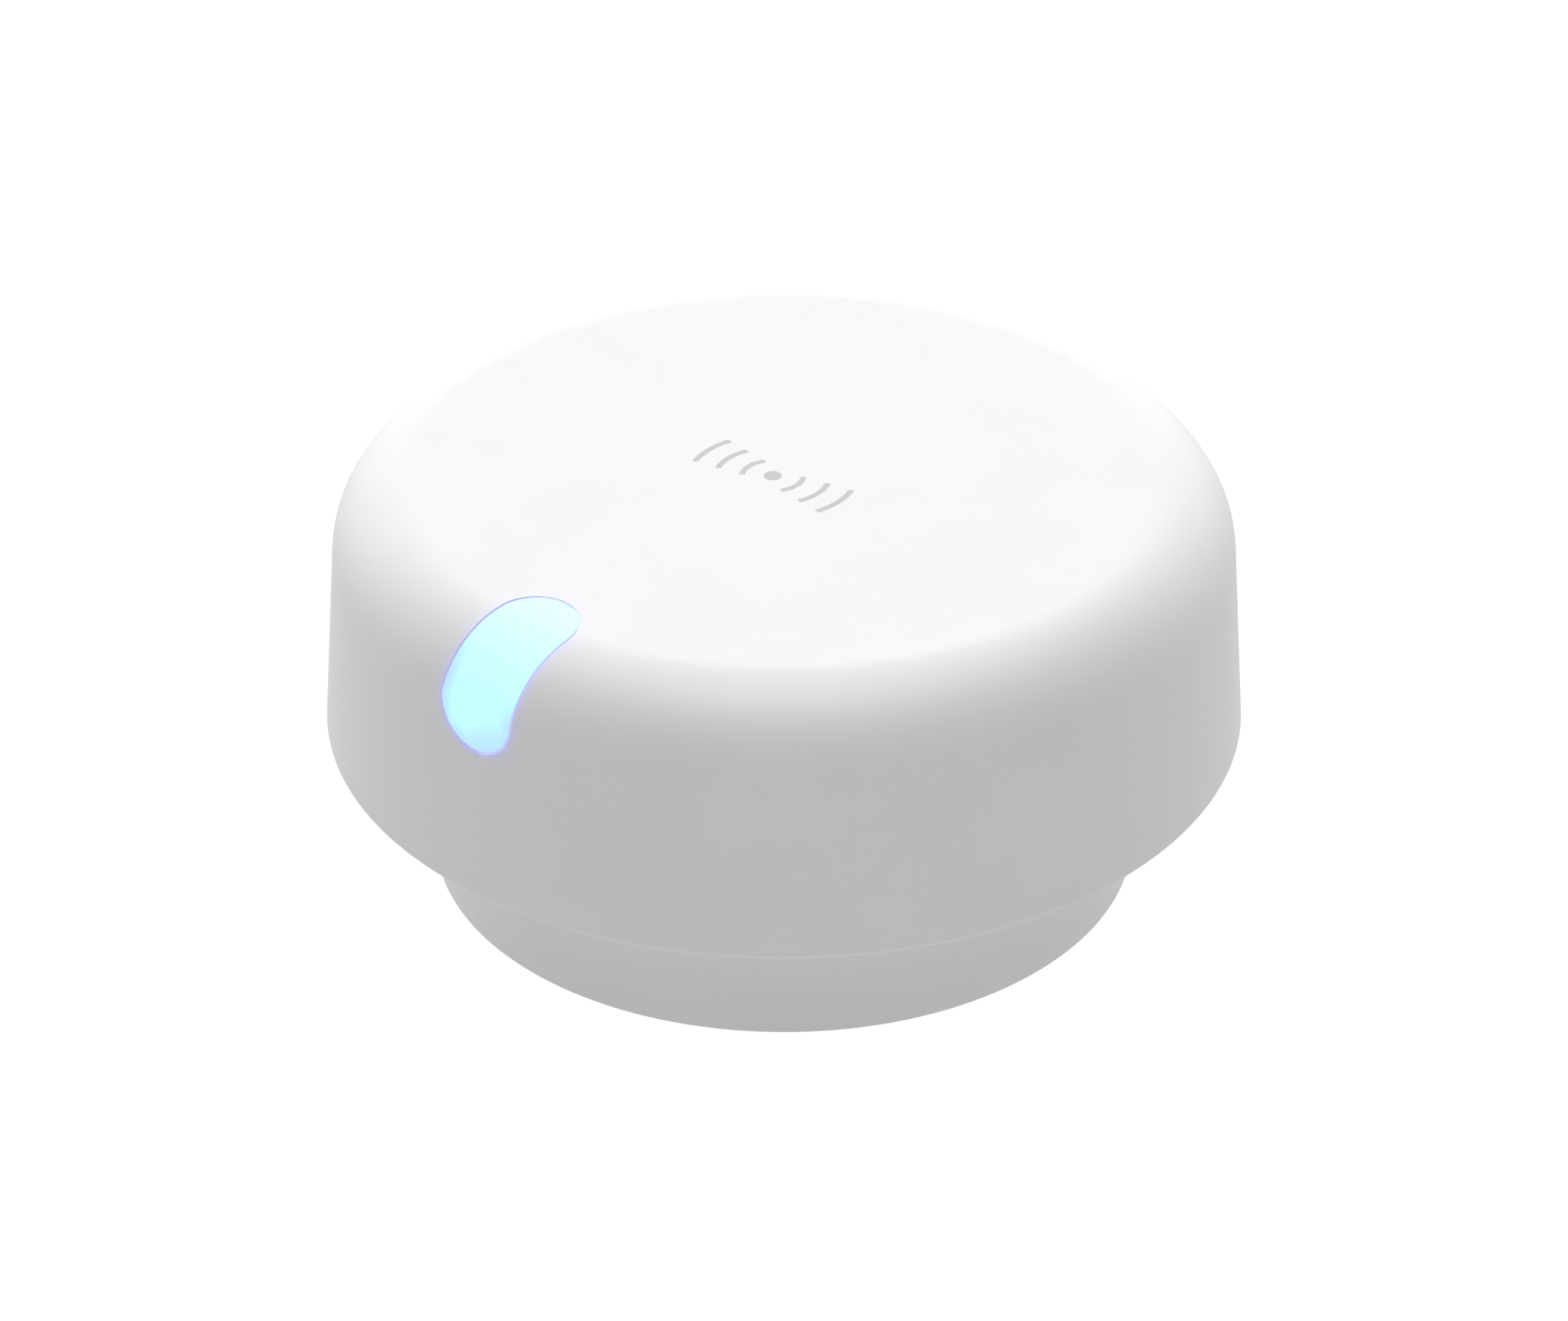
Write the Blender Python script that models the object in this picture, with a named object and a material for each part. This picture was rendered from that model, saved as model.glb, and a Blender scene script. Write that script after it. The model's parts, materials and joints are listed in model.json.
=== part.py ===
"""A round presence sensor on its folding stand, as separate pieces.

The stand is a weighted puck with a rubber foot.  A hub is hinged to its back edge, and the
sensor head turns on the hub.  A lit button sits in the head's shoulder.

Sizes below are in millimetres, and MM turns them into metres as each mesh is made.
+Z is up and the foot rests on Z = 0.  The button faces -Y, the hinge is at +Y, and the power
socket opens towards -X.
"""
import math

import bmesh
import bpy
from mathutils import Vector

MM = 0.001
GAP = 0.3  # air between pieces that touch in the real object

# Head: turned outer form, and the shell's wall
HEAD_RADIUS = 32.0
HEAD_LOW = 11.15
HEAD_TOP = 29.5
SHOULDER_RADIUS = 5.6
DRAFT = math.radians(4.28)
WALL = 2.0
HEAD_STEPS = 72
SHOULDER_STEPS = 6
SHOULDER_CENTRE_Z = HEAD_TOP - SHOULDER_RADIUS
SHOULDER_CENTRE_R = (HEAD_RADIUS - (SHOULDER_CENTRE_Z - HEAD_LOW) * math.tan(DRAFT)
                     - SHOULDER_RADIUS / math.cos(DRAFT))

# Lit button: a pill cut straight through the shoulder at 45 degrees
BUTTON_TILT = math.radians(45.0)
PILL_HALF_WIDTH = 3.06
PILL_HIGH = (3.62, 2.19)   # upper end: where its curve starts, and how far it reaches on
PILL_LOW = (3.17, 2.30)    # lower end, the same
PILL_LEAN = math.radians(7.3)      # its upper end leans towards +X
PILL_STEPS = 10
FLANGE_WIDTH = 0.85
BUTTON_DEPTH = 3.3
FLANGE_LOW = 3.2           # just short of the button's own depth
STEM_START = 2.8
PRISM_DEPTH = 12.0         # how far cutting tools run in from the shoulder
PRISM_HEIGHT = 3.0         # and how far they stand out of it
STEM_RADIUS = 1.3
STEM_END = 6.2
SWITCH_V = 0.5             # height of the switch above the pill's middle, along the shoulder
SHOULDER_MID_Y = -(SHOULDER_CENTRE_R + SHOULDER_RADIUS * math.sin(BUTTON_TILT))
SHOULDER_MID_Z = SHOULDER_CENTRE_Z + SHOULDER_RADIUS * math.cos(BUTTON_TILT)

# Rear shell, swivel collar and its ring
REAR_RADIUS = 29.55
REAR_TOP = 12.95
REAR_BORE = 7.2
COLLAR_RADIUS = 6.9
COLLAR_BORE = 4.5
COLLAR_TOP = 15.4
GROOVE = (5.9, 13.75, 14.9)       # radius, low, high
CLIP = (6.2, 9.4, 14.05, 14.6)    # inner radius, outer radius, low, high
CLIP_OPENING = math.radians(50.0)
WAVE_WASHER = (7.5, 10.2, 13.5)   # inner radius, outer radius, middle height
WAVE_HEIGHT = 0.15
WAVE_THICKNESS = 0.2
WAVE_COUNT = 3

# Stand
STAND_RADIUS = 24.8
STAND_LOW = 0.15
STAND_TOP = 6.8
STAND_WALL = 1.8
STAND_ROOF = 1.6
STAND_STEPS = 60
BACK_BLOCK = (7.0, 18.0, 24.8)    # half width, front, back
FOOT = (22.3, 0.0, 0.7)           # radius, low, high
COVER = (22.7, 1.0, 2.6)
WEIGHT = (22.7, 2.9, 4.9)
STAND_BOSS = (15.0, 2.2)          # distance from the middle, radius
STAND_BOSS_ANGLES = (30.0, 150.0, 270.0)
BASE_SCREW = (1.6, 1.05, 5.6)     # seat, crown, shank end
BASE_HEAD_RADIUS = 1.9
EDGE = 0.3                        # chamfer on the white pieces
OVERLAP = 1.0                     # how far joined solids and cutting tools run past a face

# Hinge between stand and hub
HINGE_Y = 23.0
HINGE_Z = 9.0
KNUCKLE_RADIUS = 1.8
PIN_RADIUS = 0.8
PIN_HALF_LENGTH = 6.4
PIN_STEPS = 12
EAR_INNER = 3.6
EAR_OUTER = 6.6
TONGUE_HALF_WIDTH = EAR_INNER - GAP
KNUCKLE_STEPS = 10
HINGE_HOLE_REACH = 9.0

# Hub
HUB_LOW = STAND_TOP + GAP
HUB_TOP = HEAD_LOW - GAP
HUB_CUT_Y = 19.6
HUB_BORE_LOW = 8.6
HUB_STEPS = 60
COLLAR_STEPS = 48
BORE_STEPS = 32
FRICTION_RING = (13.3, 16.7, 1.2)  # inner radius, outer radius, thickness

# Screws: shank radius, and the holes that clear it
SHANK_RADIUS = 0.7
HOLE_RADIUS = SHANK_RADIUS + GAP
SCREW_HEAD = 0.7
SCREW_END_ROOM = 0.4               # air past the end of a shank
BOARD_SCREW_BITE = 2.3
SCREW_STEPS = 12
REAR_SCREWS = (22.6, (45.0, 135.0, 225.0, 315.0))   # distance from the middle, angles
REAR_SCREW = (11.75, 11.25, 17.2)                   # seat, crown, shank end
REAR_HEAD_RADIUS = 1.8
BOSS_RADIUS = 2.0
BOARD_SCREWS = (17.0, (90.0, 210.0, 330.0))
FRAME_SCREWS = (17.0, (30.0, 150.0, 270.0))
RADAR_SCREW_PLACES = ((-11.0, 11.0), (11.0, -11.0))

# Circuit boards and the frame between them
BOARD_RADIUS = 20.0
BOARD_LOW = 16.0
BOARD_TOP = 17.0
BOARD_TAB = (-28.3, 6.5)          # far edge and half width of the tab under the socket
BOARD_STEPS = 48
PARTS_LOW = BOARD_TOP + GAP
CONNECTOR = ((-2.0, 6.0), (-10.7, -8.3))
CONNECTOR_HEIGHT = 1.4
SHIELD_CAN = ((-4.0, 12.0), (-4.5, 8.5), 2.4)
CAN_WALL = 0.3
BOARD_BLOCKS = (                  # name, limits in X and Y, height
    ("processor_chip", (0.5, 7.5), (-1.5, 5.5), 0.9),
    ("power_inductor", (-14.2, -9.8), (-2.2, 2.2), 2.2),
    ("main_connector", *CONNECTOR, CONNECTOR_HEIGHT),
    ("button_connector", (4.0, 9.0), (-16.7, -14.3), 1.2),
)
CAPACITOR_PLACES = ((-8.5, -8.5), (-3.5, -12.0))
CAPACITOR_SPAN = (2.0, PARTS_LOW, PARTS_LOW + 3.4)   # radius, low, high
FRAME_RING = (14.0, 20.3, 21.4, 22.9)                # inner and outer radius, low, high
FRAME_POST_RADIUS = 1.8
FRAME_POST_OVERLAP = 0.7
FRAME_SCREW_BITE = 4.4
FRAME_STEPS = 56
RADAR_HALF = 13.0
RADAR_LOW = 23.2
RADAR_TOP = 24.0
RADAR_PARTS_LOW = RADAR_TOP + GAP
RADAR_HOLE_RADIUS = 0.9
RADAR_CHIP = ((-3.5, 3.5), (-5.0, 2.0), (RADAR_PARTS_LOW, RADAR_PARTS_LOW + 0.9))
RADAR_CONNECTOR_LOW = 21.5
RADAR_SCREW = (0.6, 1.2, 21.8, 0.5)       # shank radius, head radius, shank end, head height

# Printed antenna: a feed line across X with columns of patches along Y
FEED_LINE = (3.96, 4.5)
FEED_REACH = 9.18
FEED_HALF = 0.18
FEED_GAP = 0.72
PATCH_HALF = 1.08
PATCH_LENGTH = 1.44
PATCH_PITCH = 2.34
PATCH_ROWS = 3
PATCH_COLUMNS = (-8.1, -2.7, 2.7, 8.1)
PATCH_THICKNESS = 0.2

# Flat cables
RIBBON_THICKNESS = 0.25
RIBBON_STEPS = 8
RADAR_RIBBON_X = (-1.0, 5.0)
RADAR_RIBBON_Y = -9.5
RADAR_RIBBON_BOW = 0.4
BUTTON_RIBBON_X = (4.2, 8.8)
BUTTON_RIBBON_PULLS = ((-24.9, 18.0), (-23.4, 16.3), (-20.5, 17.6), (-17.0, 17.9))

# Power socket
SOCKET_HALF_WIDTH = 4.47
SOCKET_HALF_HEIGHT = 1.63
SOCKET_WALL = 0.3
SOCKET_MOUTH_X = -30.9
SOCKET_BACK_X = -23.6
SOCKET_BACK_WALL = 0.5
SOCKET_Z = PARTS_LOW + SOCKET_HALF_HEIGHT
SOCKET_SLOT_X = (-35.0, -27.0)
SOCKET_STEPS = 8
TONGUE_START_X = -30.0
TONGUE_HALF = (3.3, 0.35)         # half width and half thickness
TONGUE_ROOT_HALF = (3.0, 1.0)
TONGUE_ROOT_X = (-25.8, -24.45)

# Distances below the shoulder's skin, measured along the button's travel
BUTTON_BOARD = (9.0, 9.8)
BOARD_PARTS = (8.0, 8.7)
SWITCH = (7.2, 8.7)
BACK_PLATE = (10.1, 12.0)
BACK_PLATE_SPANS = ((-6.5, 6.5), (-2.5, 5.0))
BUTTON_BOARD_SPANS = ((-6.0, 6.0), (-4.5, 5.0))
SENSOR_SPANS = ((-1.0, 1.0), (-3.6, -1.6))
LED_X = 3.4
LED_Y = 1.0
LED_HALF = 0.8
SWITCH_HALF = 1.8
PLUNGER_HOLE = (1.0, -8.4, -6.0)      # radius, low, high
PLUNGER = (0.7, -7.8, -STEM_END - GAP)
BAFFLE_OUTSIDE = ((-5.7, 5.7), (-4.2, 4.7), (-8.7, 0.0))
BAFFLE_INSIDE = ((-4.9, 4.9), (-3.9, 3.9), (-10.0, 1.0))
BAFFLE_CLEARANCE = 0.9

# Finishes: colour, roughness, metallic
WHITE_PLASTIC = ((0.86, 0.86, 0.86), 0.45, 0.0)
GREY_PLASTIC = ((0.55, 0.56, 0.57), 0.5, 0.0)
BLACK_PLASTIC = ((0.03, 0.03, 0.03), 0.5, 0.0)
LIT_PLASTIC = ((0.62, 0.95, 1.0), 0.3, 0.0)
RUBBER = ((0.12, 0.12, 0.12), 0.9, 0.0)
STEEL = ((0.62, 0.62, 0.62), 0.35, 1.0)
GREEN_BOARD = ((0.02, 0.16, 0.08), 0.4, 0.0)
COPPER = ((0.85, 0.55, 0.25), 0.35, 1.0)
CERAMIC = ((0.75, 0.73, 0.62), 0.5, 0.0)
RIBBON = ((0.75, 0.38, 0.06), 0.4, 0.0)


# ---------------------------------------------------------------- building tools
def add_object(name, bm, parent, place):
    """Turn a bmesh into an object at place, in the parent's own axes."""
    bmesh.ops.recalc_face_normals(bm, faces=bm.faces)
    mesh = bpy.data.meshes.new(name)
    bm.to_mesh(mesh)
    bm.free()
    piece = bpy.data.objects.new(name, mesh)
    bpy.context.scene.collection.objects.link(piece)
    piece.parent = parent
    piece.location = Vector(place) * MM
    return piece


def turned(name, profile, steps, parent=None, place=(0, 0, 0)):
    """A solid turned about Z from (radius, height) points; off the axis it is a ring."""
    bm = bmesh.new()
    rings = []
    for radius, height in profile:
        count = steps if radius > 0 else 1
        turns = [2 * math.pi * step / steps for step in range(count)]
        rings.append([bm.verts.new(Vector((radius * math.cos(turn), radius * math.sin(turn),
                                           height)) * MM) for turn in turns])
    if profile[0][0] > 0:
        rings.append(rings[0])
    for ring, below in zip(rings, rings[1:]):
        for step in range(steps):
            after = (step + 1) % steps
            corners = [ring[step % len(ring)], ring[after % len(ring)],
                       below[after % len(below)], below[step % len(below)]]
            bm.faces.new(list(dict.fromkeys(corners)))
    return add_object(name, bm, parent, place)


def extruded(name, outline, low, high, parent=None, place=(0, 0, 0), along="Z"):
    """An outline drawn in XY and pulled along Z, or drawn in YZ and pulled along X."""
    bm = bmesh.new()
    if along == "Z":
        corners = [Vector((x, y, low)) for x, y in outline]
        travel = Vector((0, 0, high - low))
    else:
        corners = [Vector((low, y, z)) for y, z in outline]
        travel = Vector((high - low, 0, 0))
    start = bm.faces.new([bm.verts.new(corner * MM) for corner in corners])
    grown = bmesh.ops.extrude_face_region(bm, geom=[start])["geom"]
    moved = [item for item in grown if isinstance(item, bmesh.types.BMVert)]
    bmesh.ops.translate(bm, verts=moved, vec=travel * MM)
    return add_object(name, bm, parent, place)


def block(name, x_span, y_span, z_span, parent=None, place=(0, 0, 0)):
    """A box between three pairs of limits."""
    outline = [(x_span[0], y_span[0]), (x_span[1], y_span[0]),
               (x_span[1], y_span[1]), (x_span[0], y_span[1])]
    return extruded(name, outline, z_span[0], z_span[1], parent, place)


def drum(name, radius, low, high, parent=None, place=(0, 0, 0), steps=SCREW_STEPS):
    """A plain cylinder along Z."""
    return turned(name, [(0, high), (radius, high), (radius, low), (0, low)], steps, parent, place)


def combine(piece, tool, operation):
    """Join, cut or keep what tool covers, then remove the tool."""
    modifier = piece.modifiers.new(operation.lower(), "BOOLEAN")
    modifier.solver = "EXACT"
    modifier.operation = operation
    modifier.object = tool
    bpy.context.view_layer.update()
    evaluated = piece.evaluated_get(bpy.context.evaluated_depsgraph_get())
    mesh = bpy.data.meshes.new_from_object(evaluated)
    piece.modifiers.clear()
    piece.data = mesh
    bpy.data.objects.remove(tool)
    return piece


def join(piece, tool):
    return combine(piece, tool, "UNION")


def cut(piece, tool):
    return combine(piece, tool, "DIFFERENCE")


def keep(piece, tool):
    return combine(piece, tool, "INTERSECT")


def finish(piece, look):
    """Give a piece its own material and smooth its round faces."""
    colour, roughness, metallic = look
    material = bpy.data.materials.new(piece.name + "_finish")
    material.use_nodes = True
    shader = material.node_tree.nodes["Principled BSDF"]
    shader.inputs["Base Color"].default_value = (*colour, 1.0)
    shader.inputs["Roughness"].default_value = roughness
    shader.inputs["Metallic"].default_value = metallic
    piece.data.materials.clear()
    piece.data.materials.append(material)
    piece.data.shade_smooth()
    piece.data.set_sharp_from_angle(angle=math.radians(30))
    return piece


def axis_frame(name, parent, place, tilt=0.0):
    """An empty that marks a joint's axis and carries what turns or slides on it."""
    empty = bpy.data.objects.new(name, None)
    bpy.context.scene.collection.objects.link(empty)
    empty.parent = parent
    empty.location = Vector(place) * MM
    empty.rotation_euler = (tilt, 0, 0)
    return empty


# ---------------------------------------------------------------- outlines
def arc(centre, radius, start_deg, end_deg, steps):
    """Points along an arc, with both of its ends."""
    points = []
    for step in range(steps + 1):
        turn = math.radians(start_deg + (end_deg - start_deg) * step / steps)
        points.append((centre[0] + radius * math.cos(turn), centre[1] + radius * math.sin(turn)))
    return points


def circle(centre, radius, steps):
    """Points around a full circle."""
    return arc(centre, radius, 0, 360, steps)[:-1]


def around(distance, angle_deg):
    """A place at a distance from the middle, in the direction of an angle."""
    turn = math.radians(angle_deg)
    return (distance * math.cos(turn), distance * math.sin(turn), 0)


def rounded_slot(half_width, half_height, centre_z):
    """A slot with round ends, in YZ."""
    reach = half_width - half_height
    right = arc((reach, centre_z), half_height, -90, 90, SOCKET_STEPS)
    left = arc((-reach, centre_z), half_height, 90, 270, SOCKET_STEPS)
    return right + left


def pill(grow):
    """The button's outline across its travel, grown by a margin; its length runs near Y."""
    half = PILL_HALF_WIDTH + grow
    points = []
    for (start, reach), side in ((PILL_HIGH, 1), (PILL_LOW, -1)):
        for step in range(PILL_STEPS + 1):
            turn = math.pi * step / PILL_STEPS
            across = side * half * math.cos(turn)
            climb = side * (start + (reach + grow) * math.sin(turn))
            points.append((across * math.cos(PILL_LEAN) + climb * math.sin(PILL_LEAN),
                           climb * math.cos(PILL_LEAN) - across * math.sin(PILL_LEAN)))
    return points


def head_profile(inset):
    """The head's outer form from its top to its rim, moved inwards by inset."""
    radius = SHOULDER_RADIUS - inset
    points = [(0, HEAD_TOP - inset)]
    points += arc((SHOULDER_CENTRE_R, SHOULDER_CENTRE_Z), radius, 90, math.degrees(DRAFT),
                  SHOULDER_STEPS)
    points.append((HEAD_RADIUS - inset / math.cos(DRAFT), HEAD_LOW))
    return points


def head_skin(name, outer, inner, parent):
    """The layer of the head between two depths below its surface."""
    profile = head_profile(outer) + head_profile(inner)[::-1]
    return turned(name, profile, HEAD_STEPS, parent)


def head_core(name, inset, parent):
    """Everything deeper than inset below the head's surface."""
    profile = head_profile(inset) + [(0, HEAD_LOW)]
    return turned(name, profile, HEAD_STEPS, parent)


def ear_outline():
    """A knuckle standing on the stand's roof, in YZ."""
    foot = STAND_TOP - OVERLAP
    round_top = arc((HINGE_Y, HINGE_Z), KNUCKLE_RADIUS, 180, 0, KNUCKLE_STEPS)
    return [(HINGE_Y - KNUCKLE_RADIUS, foot)] + round_top + [(HINGE_Y + KNUCKLE_RADIUS, foot)]


def tongue_outline():
    """The hub's own knuckle and the arm that carries it, in YZ."""
    arm_start = HUB_CUT_Y - KNUCKLE_RADIUS
    round_end = arc((HINGE_Y, HINGE_Z), KNUCKLE_RADIUS, -90, 90, KNUCKLE_STEPS)
    return ([(arm_start, HINGE_Z - KNUCKLE_RADIUS)] + round_end
            + [(arm_start, HINGE_Z + KNUCKLE_RADIUS)])


def cut_disc(radius, chord_y, steps):
    """A disc with its back cut off straight."""
    edge = math.degrees(math.asin(chord_y / radius))
    return arc((0, 0), radius, 180 - edge, 360 + edge, steps)


# ---------------------------------------------------------------- screws
def screw(name, parent, place, head, shank_end, head_radius=1.5):
    """A pan-head screw along Z; head is (seat, crown), and the shank runs on past the seat."""
    seat, crown = head
    soft = 0.2 if crown > seat else -0.2
    profile = [(0, shank_end), (SHANK_RADIUS, shank_end), (SHANK_RADIUS, seat),
               (head_radius, seat), (head_radius, crown - soft), (head_radius - 0.25, crown),
               (0, crown)]
    return finish(turned(name, profile, SCREW_STEPS, parent, place), STEEL)


def bore_all(piece, places, radius, low, high, parent):
    """Cut the same upright hole at each place."""
    for place in places:
        cut(piece, drum("bore", radius, low, high, parent, place))


def bore_for_heads(piece, places, head_radius, low, seat, high, parent):
    """Cut screw holes that are wide enough for a sunk head below the seat."""
    profile = [(0, high), (HOLE_RADIUS, high), (HOLE_RADIUS, seat), (head_radius, seat),
               (head_radius, low), (0, low)]
    for place in places:
        cut(piece, turned("bore", profile, SCREW_STEPS, parent, place))


def places_on(circle):
    distance, angles = circle
    return [around(distance, angle) for angle in angles]


# ---------------------------------------------------------------- stand
def hinge_hole(parent, place):
    """The pin's hole through the knuckles, as a cutting tool."""
    outline = circle((HINGE_Y, HINGE_Z), PIN_RADIUS + GAP, PIN_STEPS)
    return extruded("hinge_hole", outline, -HINGE_HOLE_REACH, HINGE_HOLE_REACH, parent, place,
                    along="X")


def make_stand(stand):
    inner = STAND_RADIUS - STAND_WALL
    profile = [(0, STAND_TOP), (STAND_RADIUS - EDGE, STAND_TOP),
               (STAND_RADIUS, STAND_TOP - EDGE), (STAND_RADIUS, STAND_LOW), (0, STAND_LOW)]
    shell = turned("base_shell", profile, STAND_STEPS, stand)
    half, front, back = BACK_BLOCK
    join(shell, block("back_block", (-half, half), (front, back), (STAND_LOW, STAND_TOP), stand))
    for low, high in ((-EAR_OUTER, -EAR_INNER), (EAR_INNER, EAR_OUTER)):
        join(shell, extruded("ear", ear_outline(), low, high, stand, along="X"))
    cut(shell, drum("hollow", inner, -OVERLAP, STAND_TOP - STAND_ROOF, stand,
                    steps=STAND_STEPS))
    distance, boss_radius = STAND_BOSS
    boss_places = places_on((distance, STAND_BOSS_ANGLES))
    for place in boss_places:
        join(shell, drum("boss", boss_radius, WEIGHT[1], STAND_TOP - OVERLAP, stand, place))
    bore_all(shell, boss_places, HOLE_RADIUS, WEIGHT[1] - OVERLAP, BASE_SCREW[2] + SCREW_END_ROOM, stand)
    cut(shell, hinge_hole(stand, (0, 0, 0)))
    finish(shell, WHITE_PLASTIC)

    weight = drum("weight_plate", *WEIGHT, stand, steps=STAND_STEPS)
    bore_all(weight, boss_places, boss_radius + GAP, WEIGHT[1] - OVERLAP, WEIGHT[2] + OVERLAP,
             stand)
    finish(weight, STEEL)

    cover = drum("base_cover", *COVER, stand, steps=STAND_STEPS)
    seat, crown, shank_end = BASE_SCREW
    bore_for_heads(cover, boss_places, BASE_HEAD_RADIUS, 0.0, seat + GAP, COVER[2] + OVERLAP,
                   stand)
    finish(cover, GREY_PLASTIC)

    radius, low, high = FOOT
    pad = turned("foot_pad", [(0, high), (radius, high), (radius, low + 0.2),
                              (radius - 0.2, low), (0, low)], STAND_STEPS, stand)
    finish(pad, RUBBER)
    for number, place in enumerate(boss_places, 1):
        screw("base_screw_%d" % number, stand, place, (seat, crown), shank_end)

    pin = extruded("hinge_pin", circle((0, 0), PIN_RADIUS, PIN_STEPS), -PIN_HALF_LENGTH,
                   PIN_HALF_LENGTH, stand, (0, HINGE_Y, HINGE_Z), along="X")
    finish(pin, STEEL)


# ---------------------------------------------------------------- hub
def make_hub(tilt):
    """The hub's meshes keep the stand's axes, so each is set back from the hinge's axis."""
    back = (0, -HINGE_Y, -HINGE_Z)
    plate = extruded("hub_plate", cut_disc(STAND_RADIUS, HUB_CUT_Y, HUB_STEPS), HUB_LOW,
                     HUB_TOP, tilt, back)
    join(plate, extruded("tongue", tongue_outline(), -TONGUE_HALF_WIDTH, TONGUE_HALF_WIDTH,
                         tilt, back, along="X"))
    groove_radius, groove_low, groove_high = GROOVE
    collar = [(0, HUB_TOP - OVERLAP), (COLLAR_RADIUS, HUB_TOP - OVERLAP),
              (COLLAR_RADIUS, groove_low), (groove_radius, groove_low),
              (groove_radius, groove_high), (COLLAR_RADIUS, groove_high),
              (COLLAR_RADIUS - EDGE, COLLAR_TOP), (0, COLLAR_TOP)]
    join(plate, turned("collar", collar, COLLAR_STEPS, tilt, back))
    cut(plate, drum("bore", COLLAR_BORE, HUB_BORE_LOW, COLLAR_TOP + OVERLAP, tilt, back,
                    steps=BORE_STEPS))
    inner, outer, thickness = FRICTION_RING
    seat_low = HUB_TOP - thickness - GAP
    seat = [(inner - GAP, seat_low), (outer + GAP, seat_low), (outer + GAP, HUB_TOP + OVERLAP),
            (inner - GAP, HUB_TOP + OVERLAP)]
    cut(plate, turned("ring_seat", seat, HUB_STEPS, tilt, back))
    cut(plate, hinge_hole(tilt, back))
    finish(plate, WHITE_PLASTIC)

    ring = [(inner, HUB_TOP - thickness), (outer, HUB_TOP - thickness), (outer, HUB_TOP),
            (inner, HUB_TOP)]
    finish(turned("swivel_friction_ring", ring, HUB_STEPS, tilt, back), GREY_PLASTIC)

    clip_inner, clip_outer, clip_low, clip_high = CLIP
    half = math.degrees(CLIP_OPENING) / 2
    outline = (arc((0, 0), clip_outer, half, 360 - half, BORE_STEPS)
               + arc((0, 0), clip_inner, 360 - half, half, BORE_STEPS))
    finish(extruded("retaining_ring", outline, clip_low, clip_high, tilt, back), STEEL)


# ---------------------------------------------------------------- head shells
def button_prism(name, grow, depth, height, button):
    """A bar of the pill's outline along the button's travel."""
    return extruded(name, pill(grow), -depth, height, button)


def make_front_shell(head, button):
    shell = head_skin("front_shell", 0, WALL, head)
    boss_places = places_on(REAR_SCREWS)
    for place in boss_places:
        join(shell, drum("boss", BOSS_RADIUS, REAR_TOP + GAP, HEAD_TOP - OVERLAP, head, place))
    seat, crown, shank_end = REAR_SCREW
    bore_all(shell, boss_places, HOLE_RADIUS, REAR_TOP - OVERLAP, shank_end + SCREW_END_ROOM, head)
    cut(shell, button_prism("button_hole", GAP / 2, PRISM_DEPTH, PRISM_HEIGHT, button))
    slot = rounded_slot(SOCKET_HALF_WIDTH + GAP, SOCKET_HALF_HEIGHT + GAP, SOCKET_Z)
    cut(shell, extruded("socket_slot", slot, *SOCKET_SLOT_X, head, along="X"))
    finish(shell, WHITE_PLASTIC)
    for number, place in enumerate(boss_places, 1):
        screw("rear_screw_%d" % number, head, place, (seat, crown), shank_end)


def make_rear_shell(head):
    profile = [(REAR_BORE, HEAD_LOW), (REAR_RADIUS - EDGE, HEAD_LOW),
               (REAR_RADIUS, HEAD_LOW + EDGE), (REAR_RADIUS, REAR_TOP), (REAR_BORE, REAR_TOP)]
    shell = turned("rear_shell", profile, HEAD_STEPS, head)
    post_places = places_on(BOARD_SCREWS)
    for place in post_places:
        join(shell, drum("post", BOSS_RADIUS, REAR_TOP - OVERLAP, BOARD_LOW - GAP, head, place))
    shank_end = BOARD_LOW - BOARD_SCREW_BITE
    bore_all(shell, post_places, HOLE_RADIUS, shank_end - SCREW_END_ROOM, BOARD_TOP, head)
    bore_for_heads(shell, places_on(REAR_SCREWS), REAR_HEAD_RADIUS, HEAD_LOW - OVERLAP,
                   REAR_SCREW[0] + GAP, REAR_TOP + OVERLAP, head)
    finish(shell, WHITE_PLASTIC)
    for number, place in enumerate(post_places, 1):
        screw("board_screw_%d" % number, head, place, (PARTS_LOW, PARTS_LOW + SCREW_HEAD),
              shank_end)


def make_wave_washer(head):
    """A flat ring bent into waves, so that it presses like a spring."""
    inner, outer, middle = WAVE_WASHER
    half = WAVE_THICKNESS / 2
    section = [(inner, middle - half), (outer, middle - half), (outer, middle + half),
               (inner, middle + half)]
    washer = turned("wave_washer", section, COLLAR_STEPS, head)
    for vertex in washer.data.vertices:
        turn = math.atan2(vertex.co.y, vertex.co.x)
        vertex.co.z += WAVE_HEIGHT * math.cos(WAVE_COUNT * turn) * MM
    finish(washer, STEEL)


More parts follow.
